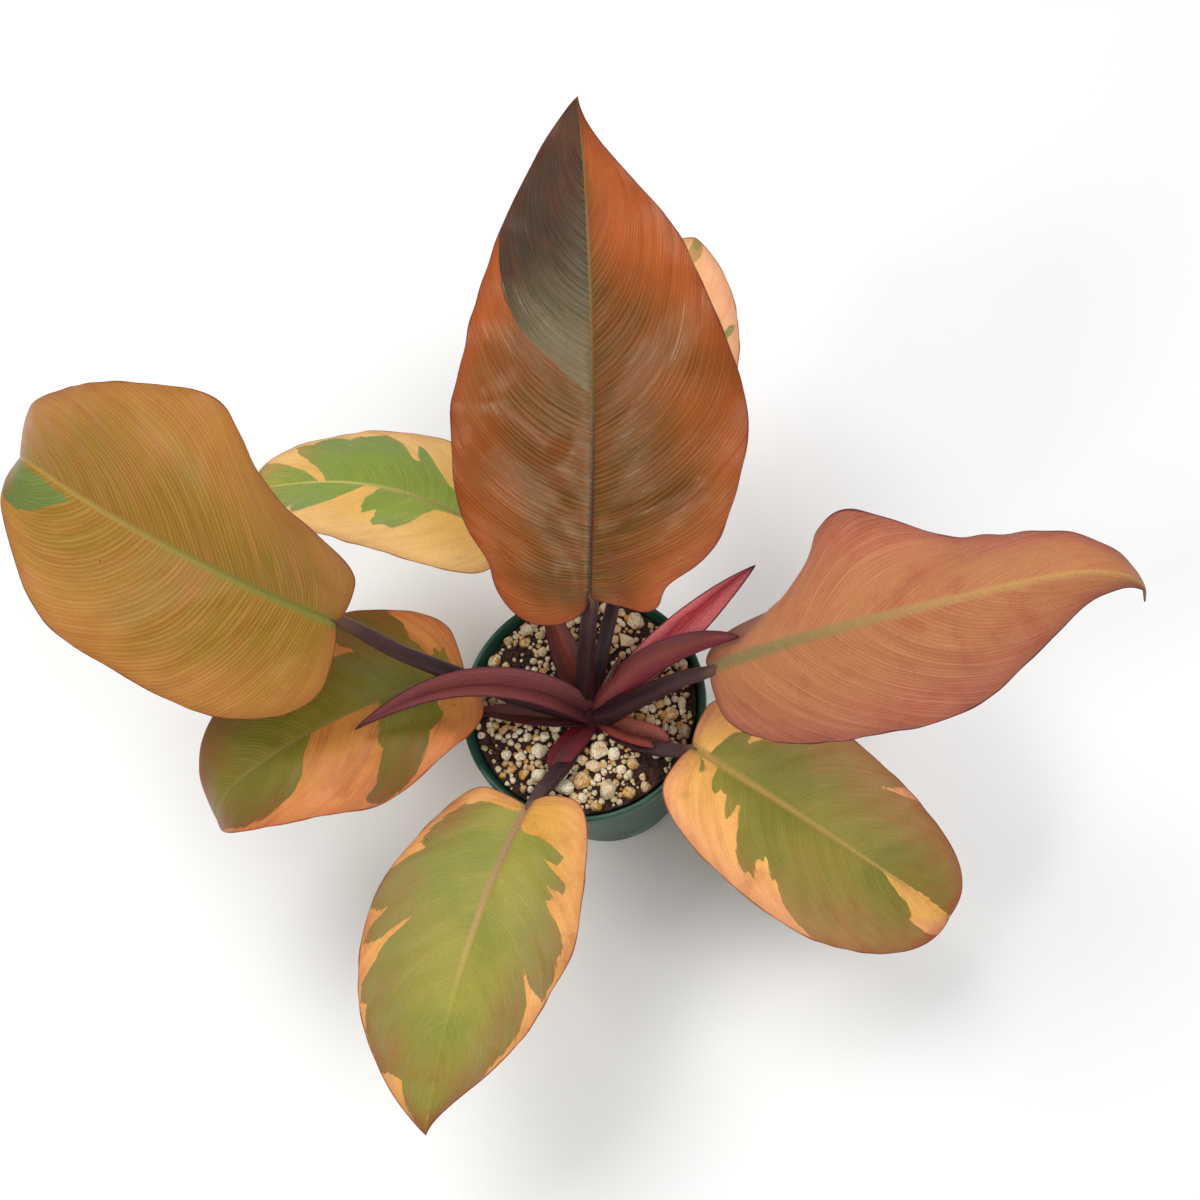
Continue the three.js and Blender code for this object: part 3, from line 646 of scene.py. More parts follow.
def make_mesh(name, points, faces, materials, slots=None, values=None, maps=None):
    """A smooth piece from places in millimetres, with values for its points and maps for its corners."""
    mesh = bpy.data.meshes.new(name)
    corners = [tuple(int(i) for i in face) for face in faces]
    mesh.from_pydata([tuple(p) for p in np.asarray(points) * MM], [], corners)
    for material in materials:
        mesh.materials.append(material)
    if slots is not None:
        mesh.polygons.foreach_set("material_index", slots)
    for key, value in (values or {}).items():
        mesh.attributes.new(key, "FLOAT", "POINT").data.foreach_set("value", np.asarray(value, np.float32))
    for key, corner in (maps or {}).items():
        mesh.uv_layers.new(name=key).data.foreach_set("uv", np.asarray(corner, np.float32).ravel())
    mesh.polygons.foreach_set("use_smooth", [True] * len(mesh.polygons))
    mesh.update()
    return shown(name, mesh)


def settle(piece, slot, *nodes):
    """Hangs a piece under the root and hides the CAD parts that it replaces. The slot is not used."""
    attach(piece, "root")
    if nodes:
        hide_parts(*nodes)


def aimed(place, target):
    """Where a camera or lamp stands and turns to face its target."""
    place = Vector(place)
    turn = (Vector(target) - place).to_track_quat("-Z", "Y").to_matrix().to_4x4()
    return Matrix.Translation(place) @ turn


def camera():
    """Looks down on the plant from its front, held a little askew."""
    data = bpy.data.cameras.new("camera")
    data.angle = math.radians(CAMERA_ANGLE)
    data.clip_start = 0.01
    view = shown("camera", data)
    roll = Matrix.Rotation(math.radians(CAMERA_ROLL), 4, "Z")
    view.matrix_world = aimed(CAMERA_PLACE, CAMERA_TARGET) @ roll
    bpy.context.scene.camera = view


def leaf_pattern(g, look):
    """What a leaf's colours follow: its veins, clouds and patches, and how far out each place lies."""
    p = SimpleNamespace()
    vein, out, _ = split(g, g.add("UVMap", {}, uv_map="Veins"))
    p.rib, p.edge, p.along = (g.attribute(key) for key in ("rib", "edge", "along"))
    p.streak = g.noise(join(g, vein, 190, out, 2.0), detail=3, roughness=0.65)
    p.jag = g.noise(join(g, vein, 75, out, 3), detail=3, roughness=0.7)
    p.cloud = g.noise(g.place(), 42, detail=3)
    p.patch = g.noise(g.place(), 90, detail=4, roughness=0.62)
    p.grit = g.noise(g.place(), 1900, detail=2)
    band = g.noise(join(g, vein, 20, out, 1.0), detail=2)
    thread = g.math("SINE", g.plus(g.times(vein, 560), g.times(band, 9)))
    p.branch = g.math("SINE", g.plus(g.times(vein, 128), g.times(band, 7)))
    p.fine = g.ease(g.plus(p.streak, g.times(thread, 0.09)), 0.38, 0.7)
    p.lines = g.times(p.fine, look["threads"])
    p.bands = g.ease(band, 0.42, 0.75, 0.0, look["bands"])
    p.mottle = g.ease(p.patch, 0.45, 0.72, 0.0, look["mottle"])
    p.tipward = g.ease(p.along, 0.46, 0.76, 0.0, look["fade"])
    stray = g.times(g.math("SUBTRACT", p.cloud, 0.5), 0.9)
    spread = g.plus(g.plus(g.math("ABSOLUTE", out), stray), g.times(p.tipward, 0.7))
    p.outward = g.ease(spread, look["core"], look["outer"])
    return p


def leaf_ground(g, look, p):
    """The leaf's main colour, banded and mottled with a blush and lined with pale veins."""
    inner, outer = look["ground"]
    blush = look["blush"]
    color = g.mix(p.outward, inner, outer)
    color = g.mix(p.bands, g.mix(p.mottle, color, blush), blush)
    return g.mix(p.lines, color, look["streak"])


def leaf_sector(g, look, p):
    """The second colour of a variegated leaf, deeper in clouds and stained towards margin and tip."""
    inner, outer = look["sector"]
    blush, stain = look["blush"], look["stain"]
    deep = tuple(c * share for c, share in zip(inner, (0.76, 0.86, 0.78)))
    light = tuple(min(1, 1.22 * c) for c in inner)
    color = g.mix(g.ease(p.cloud, 0.42, 0.62, 0.6, 0.0), inner, deep)
    color = g.mix(g.math("MAXIMUM", p.outward, p.tipward), color, outer)
    aged = g.times(g.ease(p.outward, 0.0, 1.0, 0.15, 0.75), g.ease(p.along, 0.3, 1.0, 1.0, stain))
    color = g.mix(g.times(g.plus(p.bands, p.mottle), aged), color, blush)
    tip = g.ease(p.along, 0.7, 1.0, 0.0, 0.75 * min(stain, 1.0))
    color = g.mix(g.times(tip, g.ease(p.patch, 0.38, 0.62, 0.25, 1.0)), color, blush)
    return g.mix(g.times(p.lines, g.ease(p.outward, 0.0, 0.8, 1.0, 0.25)), color, light)


def leaf_midrib(g, look, p, color):
    """Lays the midrib's colour over the blade, narrowing and clearing towards the tip."""
    rib_color = g.mix(g.ease(p.along, 0.1, 0.75), *look["rib"])
    reach = g.times(g.math("POWER", g.math("SUBTRACT", 1.06, p.along), 0.8), look["rib_width"])
    from_rib = g.plus(g.math("DIVIDE", p.rib, reach), g.times(g.math("SUBTRACT", p.streak, 0.5), 0.7))
    end = look["rib_end"]
    clear = g.times(g.ease(from_rib, 0.3, 1.05, 0.9, 0.0), g.ease(p.along, end - 0.35, end, 1.0, 0.08))
    return g.mix(clear, color, rib_color)


def leaf_face(name, look, upper):
    """Leaf skin: ground colour with sectors of another, veins that sweep to the tip, midrib and margin."""
    g = Graph(name, IOR=1.42, Coat_Weight=look["coat"] if upper else 0.0, Coat_Roughness=0.3)
    g.set("Specular IOR Level", look["gloss"])
    g.set("Specular Tint", WARM_GLOSS)
    p = leaf_pattern(g, look)
    field = g.plus(g.attribute("sector"), g.times(g.math("SUBTRACT", p.jag, 0.5), 2.4))
    color = g.mix(g.ease(field, -0.16, 0.16), leaf_ground(g, look, p), leaf_sector(g, look, p))
    ridges = g.times(g.ease(p.branch, 0.9, 1.0, 0.0, look["branches"]), g.ease(p.cloud, 0.3, 0.6))
    color = g.mix(ridges, color, look["streak"])
    color = g.lay(color, look["line"], p.edge, 0.0, 4.0, 0.25, 0.0)
    color = g.lay(color, look["line"], p.edge, 0.12, 0.42, 0.8, 0.0)
    color = leaf_midrib(g, look, p, color)
    color = g.lay(color, (0.2, 0.13, 0.08), p.grit, 0.35, 0.7, 0.0, 0.12)
    color = g.lay(color, (0.22, 0.12, 0.07), g.cells(g.place(), 75), 0.022, 0.035, 0.55, 0.0)
    if not upper:
        color = g.mix(0.35, color, (0.62, 0.50, 0.38))
    g.set("Base Color", color)
    low, high = (look["rough"] - 0.06, look["rough"] + 0.1) if upper else (0.5, 0.6)
    g.set("Roughness", g.ease(p.streak, 0.3, 0.7, low, high))
    relief = g.plus(g.times(p.fine, 0.2), g.times(p.branch, 0.12))
    normal = g.bump(g.plus(relief, g.times(p.patch, 0.5)), 0.0003)
    g.set("Normal", g.bump(p.grit, 0.00003, under=normal))
    return g.material


def split(g, vector):
    """The three values of a vector."""
    node = g.tree.nodes.new("ShaderNodeSeparateXYZ")
    g.tree.links.new(vector, node.inputs[0])
    return node.outputs


def join(g, x, x_scale, y, y_scale):
    """A texture place from two values, each stretched."""
    return g.add("CombineXYZ", {0: g.times(x, x_scale), 1: g.times(y, y_scale)})


def sheet(blade, rows, columns):
    """Rows of places over both halves, from the left margin over the midrib to the right one.

    Gives each row's share of the length, each column's share of the half's width and its half's sign,
    then every place's distance along and off the midrib and its point.
    """
    q = np.arange(1, rows) / rows
    v = np.append((np.arange(columns) / columns) ** 1.25, [0.99, 1.0])
    sides = []
    for k in (0, 1):
        a, b = blade.flat(k, q[:, None], v[None])
        ragged = 0.004 * np.sin(41 * q + 3 * k) + 0.003 * np.sin(97 * q + 5 * k) * np.sin(7 * q)
        b = b * (1 + ragged[:, None] * v ** 4)
        sides.append((a, b, blade.bend(k, a, b)))
    a, b, point = (np.concatenate([left[:, :0:-1], right], 1) for left, right in zip(*sides))
    sign = np.concatenate([np.ones(len(v) - 1), -np.ones(len(v))])
    return q, np.concatenate([v[:0:-1], v]), sign, a, b, point


def sheet_faces(index, base, tip):
    """Quads over a blade's grid, and the triangles that close it at the midrib's two ends."""
    quads = np.stack([index[:-1, :-1], index[:-1, 1:], index[1:, 1:], index[1:, :-1]], -1).reshape(-1, 4)
    steps = range(index.shape[1] - 1)
    caps = [(base, index[0, j + 1], index[0, j]) for j in steps]
    caps += [(tip, index[-1, j], index[-1, j + 1]) for j in steps]
    return quads, np.array(caps)


def upper_faces(blade, index, points):
    """A sheet's faces and normals, turned to the side that the blade's midrib calls up."""
    quads, caps = sheet_faces(index, len(points) - 2, len(points) - 1)
    faces = [tuple(f) for f in (*quads, *caps)]
    normal = vertex_normals(points, quads, caps)
    centre = index[(len(index) + 1) // 2, index.shape[1] // 2]
    if normal[centre] @ blade.rib(np.array(blade.length / 2))[3] < 0:
        return [f[::-1] for f in faces], -normal
    return faces, normal


def rim_faces(faces, loop, n):
    """Quads between the edges of the upper and the lower sheet, turned the way that the upper faces ask."""
    rim = [(i, j, n + j, n + i) for i, j in zip(loop, loop[1:] + loop[:1])]
    first, second = rim[3][:2]
    same_way = any(a == second and b == first for f in faces for a, b in zip(f, (*f[1:], f[0])))
    return rim if same_way else [f[::-1] for f in rim]


def thickened(blade, points, normal, a, b, depth, edge, relief):
    """The points of a blade's upper and then of its lower surface."""
    thick, edge_thick, keel, groove = depth
    half_thick = edge_thick / 2 + (thick - edge_thick) / 2 * smooth(edge / (3 * thick))
    taper = 1 - 0.75 * np.clip(a / blade.length, 0, 1)
    dip = groove * np.exp(-((b / GROOVE_WIDTH) ** 2)) * taper
    ridge = keel * np.exp(-((b / KEEL_WIDTH) ** 2)) * taper
    swell = relief(a, b, edge) if relief else 0
    top = points + normal * (half_thick - dip + swell)[:, None]
    under = points - normal * (half_thick + ridge - swell)[:, None]
    return np.vstack([top, under])


def build_blade(name, blade, grid, depth, materials, values=None, relief=None):
    """Closes a bent sheet into a blade with a thin edge, a channel above its midrib and a keel below."""
    q, share, sign, a, b, point = sheet(blade, *grid)
    ends = blade.rib(np.array([0.0, blade.length]))[0]
    middle = np.vstack([point.reshape(-1, 3), ends])
    n = len(middle)
    index = np.arange(a.size).reshape(a.shape)
    faces, normal = upper_faces(blade, index, middle)
    flat_a = np.append(a.ravel(), [0, blade.length])
    flat_b = np.append((b * sign).ravel(), [0, 0])
    edge = edge_distance(blade, flat_a, flat_b)
    points = thickened(blade, middle, normal, flat_a, flat_b, depth, edge, relief)

    loop = [n - 2, *index[:, 0], n - 1, *index[::-1, -1]]
    lower = [tuple(n + i for i in reversed(f)) for f in faces]
    every = faces + lower + rim_faces(faces, loop, n)
    slots = np.zeros(len(every), int)
    slots[len(faces):2 * len(faces)] = 1

    fields = {"rib": np.abs(flat_b), "edge": edge, "along": np.clip(flat_a / blade.length, 0, 1)}
    fields.update(values(a, b, sign) if values else {})
    fields = {key: np.tile(value, 2) for key, value in fields.items()}
    swept = np.append((q[:, None] - 0.1 * share - 0.12 * share ** 2).ravel(), [0, 1])
    vein = np.stack([swept, np.append((share * sign * np.ones(a.shape)).ravel(), [0, 0])], 1)
    maps = {
        "Veins": np.array([vein[i % n] for f in every for i in f]),
        "OFBake": bake_map(blade, flat_a, flat_b, every, n, len(faces), loop),
    }
    return make_mesh(name, points, every, materials, slots, fields, maps)


def vertex_normals(points, quads, triangles):
    """Each point's normal, from the faces round it by their area."""
    normal = np.zeros_like(points)
    for faces in (quads, triangles):
        a, b, c = points[faces[:, 0]], points[faces[:, 1]], points[faces[:, -1]]
        if faces.shape[1] == 4:
            face = np.cross(points[faces[:, 2]] - a, c - b)
        else:
            face = np.cross(b - a, c - a)
        for corner in faces.T:
            np.add.at(normal, corner, face)
    return normal / np.maximum(np.linalg.norm(normal, axis=1), 1e-12)[:, None]


def edge_distance(blade, a, b):
    """How far each flat place lies from the blade's margin."""
    left, right = blade.edges
    line = np.vstack([left[::6], (right[::6] * (1, -1))[::-1]])
    return line_distance(np.stack([a, b], 1), line)


def bake_map(blade, a, b, faces, n, top_count, loop):
    """Lays the upper face, the underside and the rim side by side in the unit square, each place once."""
    widths = [half["width"] for half in blade.halves]
    lobe = max(half["lobe"] for half in blade.halves)
    scale = min(0.46 / sum(widths), 0.96 / (blade.length + lobe + 4))
    x = 0.015 + (b + widths[1] + 1) * scale
    y = 0.02 + (a + lobe + 1.5) * scale
    flat = np.stack([x, y], 1)
    out = {}
    for i, before, after in zip(loop, loop[-1:] + loop[:-1], loop[1:] + loop[:1]):
        way = flat[after] - flat[before]
        away = np.array([way[1], -way[0]]) / max(np.linalg.norm(way), 1e-9)
        out[i] = flat[i] + away * 0.5 * scale
    centre = flat.mean(0)
    sample = loop[len(loop) // 4]
    if np.linalg.norm(out[sample] - centre) < np.linalg.norm(flat[sample] - centre):
        out = {i: 2 * flat[i] - place for i, place in out.items()}
    corners = []
    for number, face in enumerate(faces):
        for i in face:
            if number < top_count:
                corners.append(flat[i])
            elif number < 2 * top_count:
                corners.append(flat[i - n] + (0.5, 0))
            else:
                corners.append(flat[i] if i < n else out[i - n])
    return np.array(corners)


def sector_values(blade, sectors):
    """Says how far inside a sector of the second colour each point of a blade lies."""

    def values(a, b, sign):
        field = np.full(a.shape, -20.0)
        for k, side in enumerate(("left", "right")):
            mask = np.broadcast_to(sign == 1 - 2 * k, a.shape)
            if sectors.get(side):
                field[mask] = sector_field(blade, k, sectors[side], a[mask], b[mask])
        middle = a.shape[1] // 2
        return {"sector": np.append(field.ravel(), [field[0, middle], field[-1, middle]])}

    return values


def crease_rise(blade, crease, a, b):
    """How far one crease lifts each flat place of its blade."""
    side, first, last, height, width = crease
    k = ("left", "right").index(side)
    first, last = (np.array(blade.flat(k, *place)) * (1, 1 - 2 * k) for place in (first, last))
    way = last - first
    long = np.linalg.norm(way)
    s = ((a - first[0]) * way[0] + (b - first[1]) * way[1]) / long
    off = ((a - first[0]) * way[1] - (b - first[1]) * way[0]) / long
    ends = smooth(s / 8) * smooth((long - s) / 8)
    return height * ends * np.exp(-((off / width) ** 2))


def leaf_relief(name, blade):
    """Says how far a blade swells between its veins, waves at its margin and creases."""
    seed = sum(ord(c) for c in name)
    wobble = np.random.default_rng(seed).uniform(0, 6.28, 8)

    def relief(a, b, edge):
        u, v = a / blade.length, b / 35
        broad = np.sin(9 * u + wobble[0]) * np.sin(5 * v + wobble[1])
        broad = broad + 0.7 * np.sin(15 * u - 4 * np.abs(v) + wobble[2])
        ribs = np.sin((u - 0.45 * np.abs(v) + 0.2 * v * v) * 62 + wobble[3])
        rise = np.minimum(np.abs(v) * 3, 1) * (0.35 * broad + 0.12 * ribs) * smooth(edge / 6)
        side = np.where(b > 0, wobble[4], wobble[5])
        frill = np.sin(a / 3.7 + side) * (0.6 + 0.4 * np.sin(a / 17 + wobble[6]))
        frill = frill + 0.3 * np.sin(a / 1.9 + 2 * side)
        ends = smooth(a / 12) * smooth((blade.length - a) / 15)
        rise = rise + LOOKS[name]["frill"] * frill * np.exp(-edge / 4) * ends
        for crease in CREASES.get(name, []):
            rise = rise + crease_rise(blade, crease, a, b)
        return rise

    return relief


def leaf(name):
    """One blade with its own colours, variegation and relief."""
    blade = Blade(LEAVES[name])
    look = LOOK_OF_MOST | LOOKS[name]
    materials = [leaf_face(f"leaf_{name}_upper", look, True), leaf_face(f"leaf_{name}_under", look, False)]
    grid = (LEAF_ROWS, LEAF_COLUMNS)
    depth = (LEAF_THICK, EDGE_THICK, KEEL_DEPTH, GROOVE_DEPTH)
    sectors = sector_values(blade, SECTORS[name])
    piece = build_blade(f"leaf_{name}", blade, grid, depth, materials, sectors, leaf_relief(name, blade))
    settle(piece, LEAVES[name]["slot"], f"blade_{name}")


def petiole_face():
    """Dark purple stalk skin with paler lengthwise ridges, a darker channel, small pale specks and a painted
    sheen near the blade.
    """
    g = Graph("petiole_skin", IOR=1.4, Coat_Weight=0.08, Coat_Roughness=0.3)
    g.set("Specular IOR Level", 0.35)
    along, upward, sideward = g.attribute("along"), g.attribute("upward"), g.attribute("sideward")
    round_place = {0: g.times(upward, 5), 1: g.times(sideward, 5), 2: g.times(along, 2)}
    fibre = g.noise(g.add("CombineXYZ", round_place), 2.2, detail=4, roughness=0.65)
    cloud = g.noise(g.place(), 120, detail=3)
    speck = g.cells(g.place(), 900)
    color = g.mix(g.ease(fibre, 0.35, 0.7), (0.15, 0.07, 0.095), (0.30, 0.155, 0.185))
    color = g.lay(color, (0.20, 0.12, 0.11), cloud, 0.35, 0.7, 0, 0.6)
    color = g.lay(color, (0.13, 0.075, 0.10), upward, 0.75, 1.0, 0, 0.65)
    # Painted sheen: a paler greyish tone over the part of the stalk towards its blade
    color = g.lay(color, (0.38, 0.27, 0.25), along, 0.6, 0.95, 0, 0.4)
    color = g.lay(color, (0.46, 0.33, 0.26), along, 0.9, 1.0, 0, 0.75)
    color = g.lay(color, (0.52, 0.36, 0.36), speck, 0.04, 0.1, 0.5, 0.0)
    g.set("Base Color", color)
    g.set("Roughness", g.ease(fibre, 0.3, 0.7, 0.34, 0.5))
    g.set("Normal", g.bump(g.plus(fibre, g.times(cloud, 0.4)), 0.0003))
    return g.material


def scale_face(name, middle, side, edge):
    """Skin of a bract or a stalk's wing: middle colour along the keel, another beyond it, a thin margin."""
    g = Graph(name, IOR=1.42, Coat_Weight=0.1, Coat_Roughness=0.35)
    g.set("Specular IOR Level", 0.3)
    vein, out, _ = split(g, g.add("UVMap", {}, uv_map="Veins"))
    fibre = g.noise(join(g, vein, 6, out, 14), detail=4, roughness=0.6)
    cloud = g.noise(g.place(), 150, detail=3)
    grit = g.noise(g.place(), 1800, detail=2)
    spread = g.plus(g.math("ABSOLUTE", out), g.times(g.math("SUBTRACT", cloud, 0.5), 0.7))
    color = g.mix(g.ease(spread, 0.05, 0.75), middle, side)
    pale = tuple(min(1, 1.25 * c + 0.02) for c in side)
    color = g.lay(color, pale, fibre, 0.4, 0.75, 0, 0.4)
    color = g.lay(color, tuple(0.7 * c for c in middle), grit, 0.35, 0.65, 0, 0.25)
    color = g.lay(color, edge, g.attribute("edge"), 0.05, 0.55, 0.9, 0)
    color = g.lay(color, (0.16, 0.08, 0.10), g.attribute("along"), 0.0, 0.25, 0.55, 0)
    color = g.lay(color, (0.24, 0.10, 0.14), g.attribute("along"), 0.93, 1.0, 0.0, 0.6)
    g.set("Base Color", color)
    g.set("Roughness", g.ease(fibre, 0.3, 0.7, 0.4, 0.54))
    normal = g.bump(fibre, 0.0002)
    g.set("Normal", g.bump(grit, 0.00004, under=normal))
    return g.material


def folded_scale(name, bract, skins, rim):
    """A bract or a stalk's wing, folded along its keel."""
    half = dict(width=bract["width"], lobe=1.5, widest=0.35, full=1.9, point=0.9, fold=bract["fold"])
    half["waves"] = []
    left, right = (half | bract.get(side, {}) for side in ("left", "right"))
    blade = Blade(dict(bract, left=left, right=right))
    materials = [scale_face(f"{name}_{face}", *skin, rim) for face, skin in zip(("inner", "outer"), skins)]
    depth = (BRACT_THICK, BRACT_EDGE, 0.35 * KEEL_DEPTH, BRACT_GROOVE)
    return build_blade(name, blade, (BRACT_ROWS, BRACT_COLUMNS), depth, materials)


def bracts():
    """Three narrow bracts, of which the upright one is crimson."""
    for name, bract in BRACTS.items():
        piece = folded_scale(f"scale_{name}", bract, BRACT_SKINS[name], BRACT_RIM)
        settle(piece, "bract_red" if name == "upright" else "bract", f"bract_{name}")


def bezier(points, u):
    """Places and directions along a cubic curve."""
    p0, p1, p2, p3 = (np.array(p, float) for p in points)
    u = u[:, None]
    place = p0 * (1 - u) ** 3 + 3 * p1 * u * (1 - u) ** 2 + 3 * p2 * u * u * (1 - u) + p3 * u ** 3
    way = 3 * (p1 - p0) * (1 - u) ** 2 + 6 * (p2 - p1) * u * (1 - u) + 3 * (p3 - p2) * u * u
    return place, unit(way)


def stalk_radius(row, u, beyond):
    """A stalk's radius up to its blade, swollen at the foot, and beyond it, where it runs out."""
    first, last = row["thick"]
    free = first + (last - first) * u
    free *= 1 + 0.3 * np.exp(-((u / 0.14) ** 2))
    free *= 1 - 0.18 * smooth((u - 0.85) / 0.15)
    return free, last * (1 - 0.72 * smooth(beyond / STALK_RUNOUT)) * 0.82


def midrib_sink(row, side, up, start, radius, beyond):
    """How a stalk sinks from start to where it lies between the two halves of its folded blade."""
    left, right = (math.radians(row[half]["fold"]) for half in ("left", "right"))
    under = unit(up * (math.cos(left) + math.cos(right)) + side * (math.sin(right) - math.sin(left)))
    wedge = 1 / math.cos(min(0.0, left + right) / 2)
    sink = start + ((0.4 + radius) * wedge - start) * smooth(beyond / 4)
    return under * sink[:, None]


def stalk_line(row):
    """Places, directions, upward directions and radii along a stalk and on below its blade's midrib."""
    u = np.linspace(0, 1, STALK_STEPS)
    place, way = bezier([*row["stalk"], row["base"]], u)
    beyond = np.linspace(0, STALK_RUNOUT, 15)[1:]
    rib_place, rib_way, rib_side, rib_up = Midrib(row)(beyond)
    free, run = stalk_radius(row, u, beyond)
    place = place - rib_up[0] * (0.8 * free * smooth((u - 0.78) / 0.22))[:, None]
    if "sheath" in row and row["sheath"]["width"] > 2:
        reach = np.concatenate([[0], np.cumsum(np.linalg.norm(np.diff(place, axis=0), axis=1))])
        covered = 1 - smooth((reach - row["sheath"]["length"] + 7) / 8)
        free *= 1 - 0.42 * covered
        place[:, 2] -= 1.7 * covered
    rib_place = rib_place - midrib_sink(row, rib_side, rib_up, 0.8 * free[-1], run, beyond)
    place, way = np.vstack([place, rib_place]), np.vstack([way, rib_way])
    up = unit(np.array([0.0, 0.0, 1.0]) - way * way[:, 2:])
    turn = smooth((np.arange(len(place)) / (len(u) - 1) - 0.6) / 0.4)[:, None]
    up = up * (1 - turn) + rib_up[0] * turn
    up = unit(up - way * (up * way).sum(1)[:, None])
    return place, way, up, np.concatenate([free, run])


def stalk(name, skin):
    """A stalk with a channel above, that runs out along the underside of its blade's midrib."""
    place, way, up, radius = stalk_line(LEAVES[name])
    side = np.cross(up, way)
    f = 2 * np.pi * np.arange(STALK_SIDES) / STALK_SIDES
    bend = np.minimum(f, 2 * np.pi - f)
    section = 1 - 0.2 * np.exp(-((bend / 0.5) ** 2)) + 0.05 * np.exp(-(((bend - 0.95) / 0.3) ** 2))
    section = section + 0.012 * np.cos(11 * f)
    around = up[:, None] * np.cos(f)[None, :, None] + side[:, None] * np.sin(f)[None, :, None]
    ring = section[None, :, None] * around
    points = (place[:, None] + ring * radius[:, None, None]).reshape(-1, 3)
    points = np.vstack([points, place[:1], place[-1:]])
    along = np.minimum(np.arange(len(place)) / (STALK_STEPS - 1), 1.2)
    values = {
        "along": np.append(np.repeat(along, STALK_SIDES), [0, 1.2]),
        "upward": np.append(np.tile(np.cos(f), len(place)), [0, 0]),
        "sideward": np.append(np.tile(np.sin(f), len(place)), [0, 0]),
    }
    piece = make_mesh(f"stalk_{name}", points, tube_faces(len(place), STALK_SIDES), [skin], values=values)
    settle(piece, "petiole", f"petiole_{name}")


def tube_faces(rows, sides):
    """Faces of a tube of rings, closed by a point at each end; the two end points come last."""
    first, last = rows * sides, rows * sides + 1
    faces, caps = [], []
    for k in range(sides):
        after = (k + 1) % sides
        caps += [(first, k, after), (last, (rows - 1) * sides + after, (rows - 1) * sides + k)]
    for i in range(rows - 1):
        for k in range(sides):
            a, b = i * sides + k, i * sides + (k + 1) % sides
            faces.append((a, a + sides, b + sides, b))
    return faces + caps


def stalks():
    """Every leaf's stalk, and the open sheaths at the feet of five of them."""
    skin = petiole_face()
    for name in LEAVES:
        stalk(name, skin)
    for name, skins in WING_SKINS.items():
        rim = RED_WING_RIM if name == "low_right" else WING_RIM
        blunt = dict(full=3.6, point=0.55, widest=0.5) if name in BLUNT_WINGS else {}
        wing = dict(LEAVES[name]["sheath"], left=blunt, right=blunt)
        settle(folded_scale(f"wing_{name}", wing, skins, rim), "petiole", f"petiole_{name}")


def turned(profile, sides, wobble=None):
    """A body turned about the upright axis; the profile starts and ends on the axis."""
    f = 2 * np.pi * np.arange(sides) / sides
    middle = np.array(profile[1:-1], float)
    radius = np.repeat(middle[:, :1], sides, 1)
    height = np.repeat(middle[:, 1:], sides, 1)
    if wobble is not None:
        radius, height = wobble(radius, height, f[None])
    points = np.stack([radius * np.cos(f), radius * np.sin(f), height], -1).reshape(-1, 3)
    points = np.vstack([points, [[0, 0, profile[0][1]], [0, 0, profile[-1][1]]]])
    return points, [face[::-1] for face in tube_faces(len(middle), sides)]


def crown():
    """The short stem, ringed with scars and swollen where stalks leave it."""
    z = np.linspace(CROWN_FOOT, CROWN_TOP, 70)
    r = np.interp(z, (CROWN_FOOT, 55, 61, 64.5, 67, CROWN_TOP), (4.8, 6, 6, 5.4, 3.6, 0.8))
    profile = [(0, CROWN_FOOT), *zip(r, z), (0, CROWN_TOP + 0.1)]

    def wobble(radius, height, f):
        scar = 0.25 * np.abs(np.sin(height * 0.9 + 0.5 * np.sin(f))) ** 0.5
        bulge = 0.07 * np.sin(4 * f + height * 0.25) + 0.04 * np.sin(7 * f - height * 0.4)
        return radius * (1 + bulge) - scar * np.minimum(radius / 5, 1), height

    points, faces = turned(profile, 72, wobble)
    points += (*CROWN_AT, 0)
    g = Graph("stem_skin", IOR=1.35)
    g.set("Specular IOR Level", 0.08)
    fibre = g.noise(g.add("Mapping", {0: g.place(), 3: (1, 1, 0.35)}), 900, detail=4, roughness=0.65)
    cloud = g.noise(g.place(), 140, detail=2)
    color = g.mix(g.ease(fibre, 0.35, 0.7), (0.17, 0.075, 0.09), (0.30, 0.15, 0.16))
    g.set("Base Color", g.lay(color, (0.22, 0.12, 0.10), cloud, 0.4, 0.7, 0, 0.6))
    g.set("Roughness", g.ease(fibre, 0.3, 0.7, 0.42, 0.6))
    g.set("Normal", g.bump(fibre, 0.0004))
    settle(make_mesh("crown", points, faces, [g.material]), "stem", "stem")


def pot_profile():
    """The pot's outline from the axis under its floor, up the wall, over the rim and back down inside."""
    lip = POT_HEIGHT - RIM_BAND
    top = RIM_RADIUS - RIM_STEP
    wall = [(BASE_RADIUS + (top - BASE_RADIUS) * z / lip, z) for z in np.linspace(0.9, lip - 0.5, 26)]
    inner = [
        (BASE_RADIUS - POT_WALL + (top + 0.6 - BASE_RADIUS) * s, POT_FLOOR + (lip - 1 - POT_FLOOR) * s)
        for s in np.linspace(1, 0, 24)
    ]
    rim = [(RIM_RADIUS - 0.7, lip + 0.4), (RIM_RADIUS - 0.2, lip + 0.6), (RIM_RADIUS, lip + 1.1)]
    rim += [(RIM_RADIUS, z) for z in np.linspace(lip + 1.6, POT_HEIGHT - 0.9, 4)]
    round_edge = [(0.1, 0.4), (0.35, 0.1), (0.7, 0), (1.1, 0), (1.45, 0.15), (1.65, 0.55)]
    rim += [(RIM_RADIUS - inset, POT_HEIGHT - drop) for inset, drop in round_edge]
    foot = [(r, 0) for r in (8, 15, 22, BASE_RADIUS - 1)]
    foot += [(BASE_RADIUS - 0.4, 0.08), (BASE_RADIUS - 0.05, 0.4)]
    floor_in = [(r, POT_FLOOR) for r in (22, 15, 8)]
    return [(0, 0), *foot, *wall, *rim, *inner, *floor_in, (0, POT_FLOOR)]


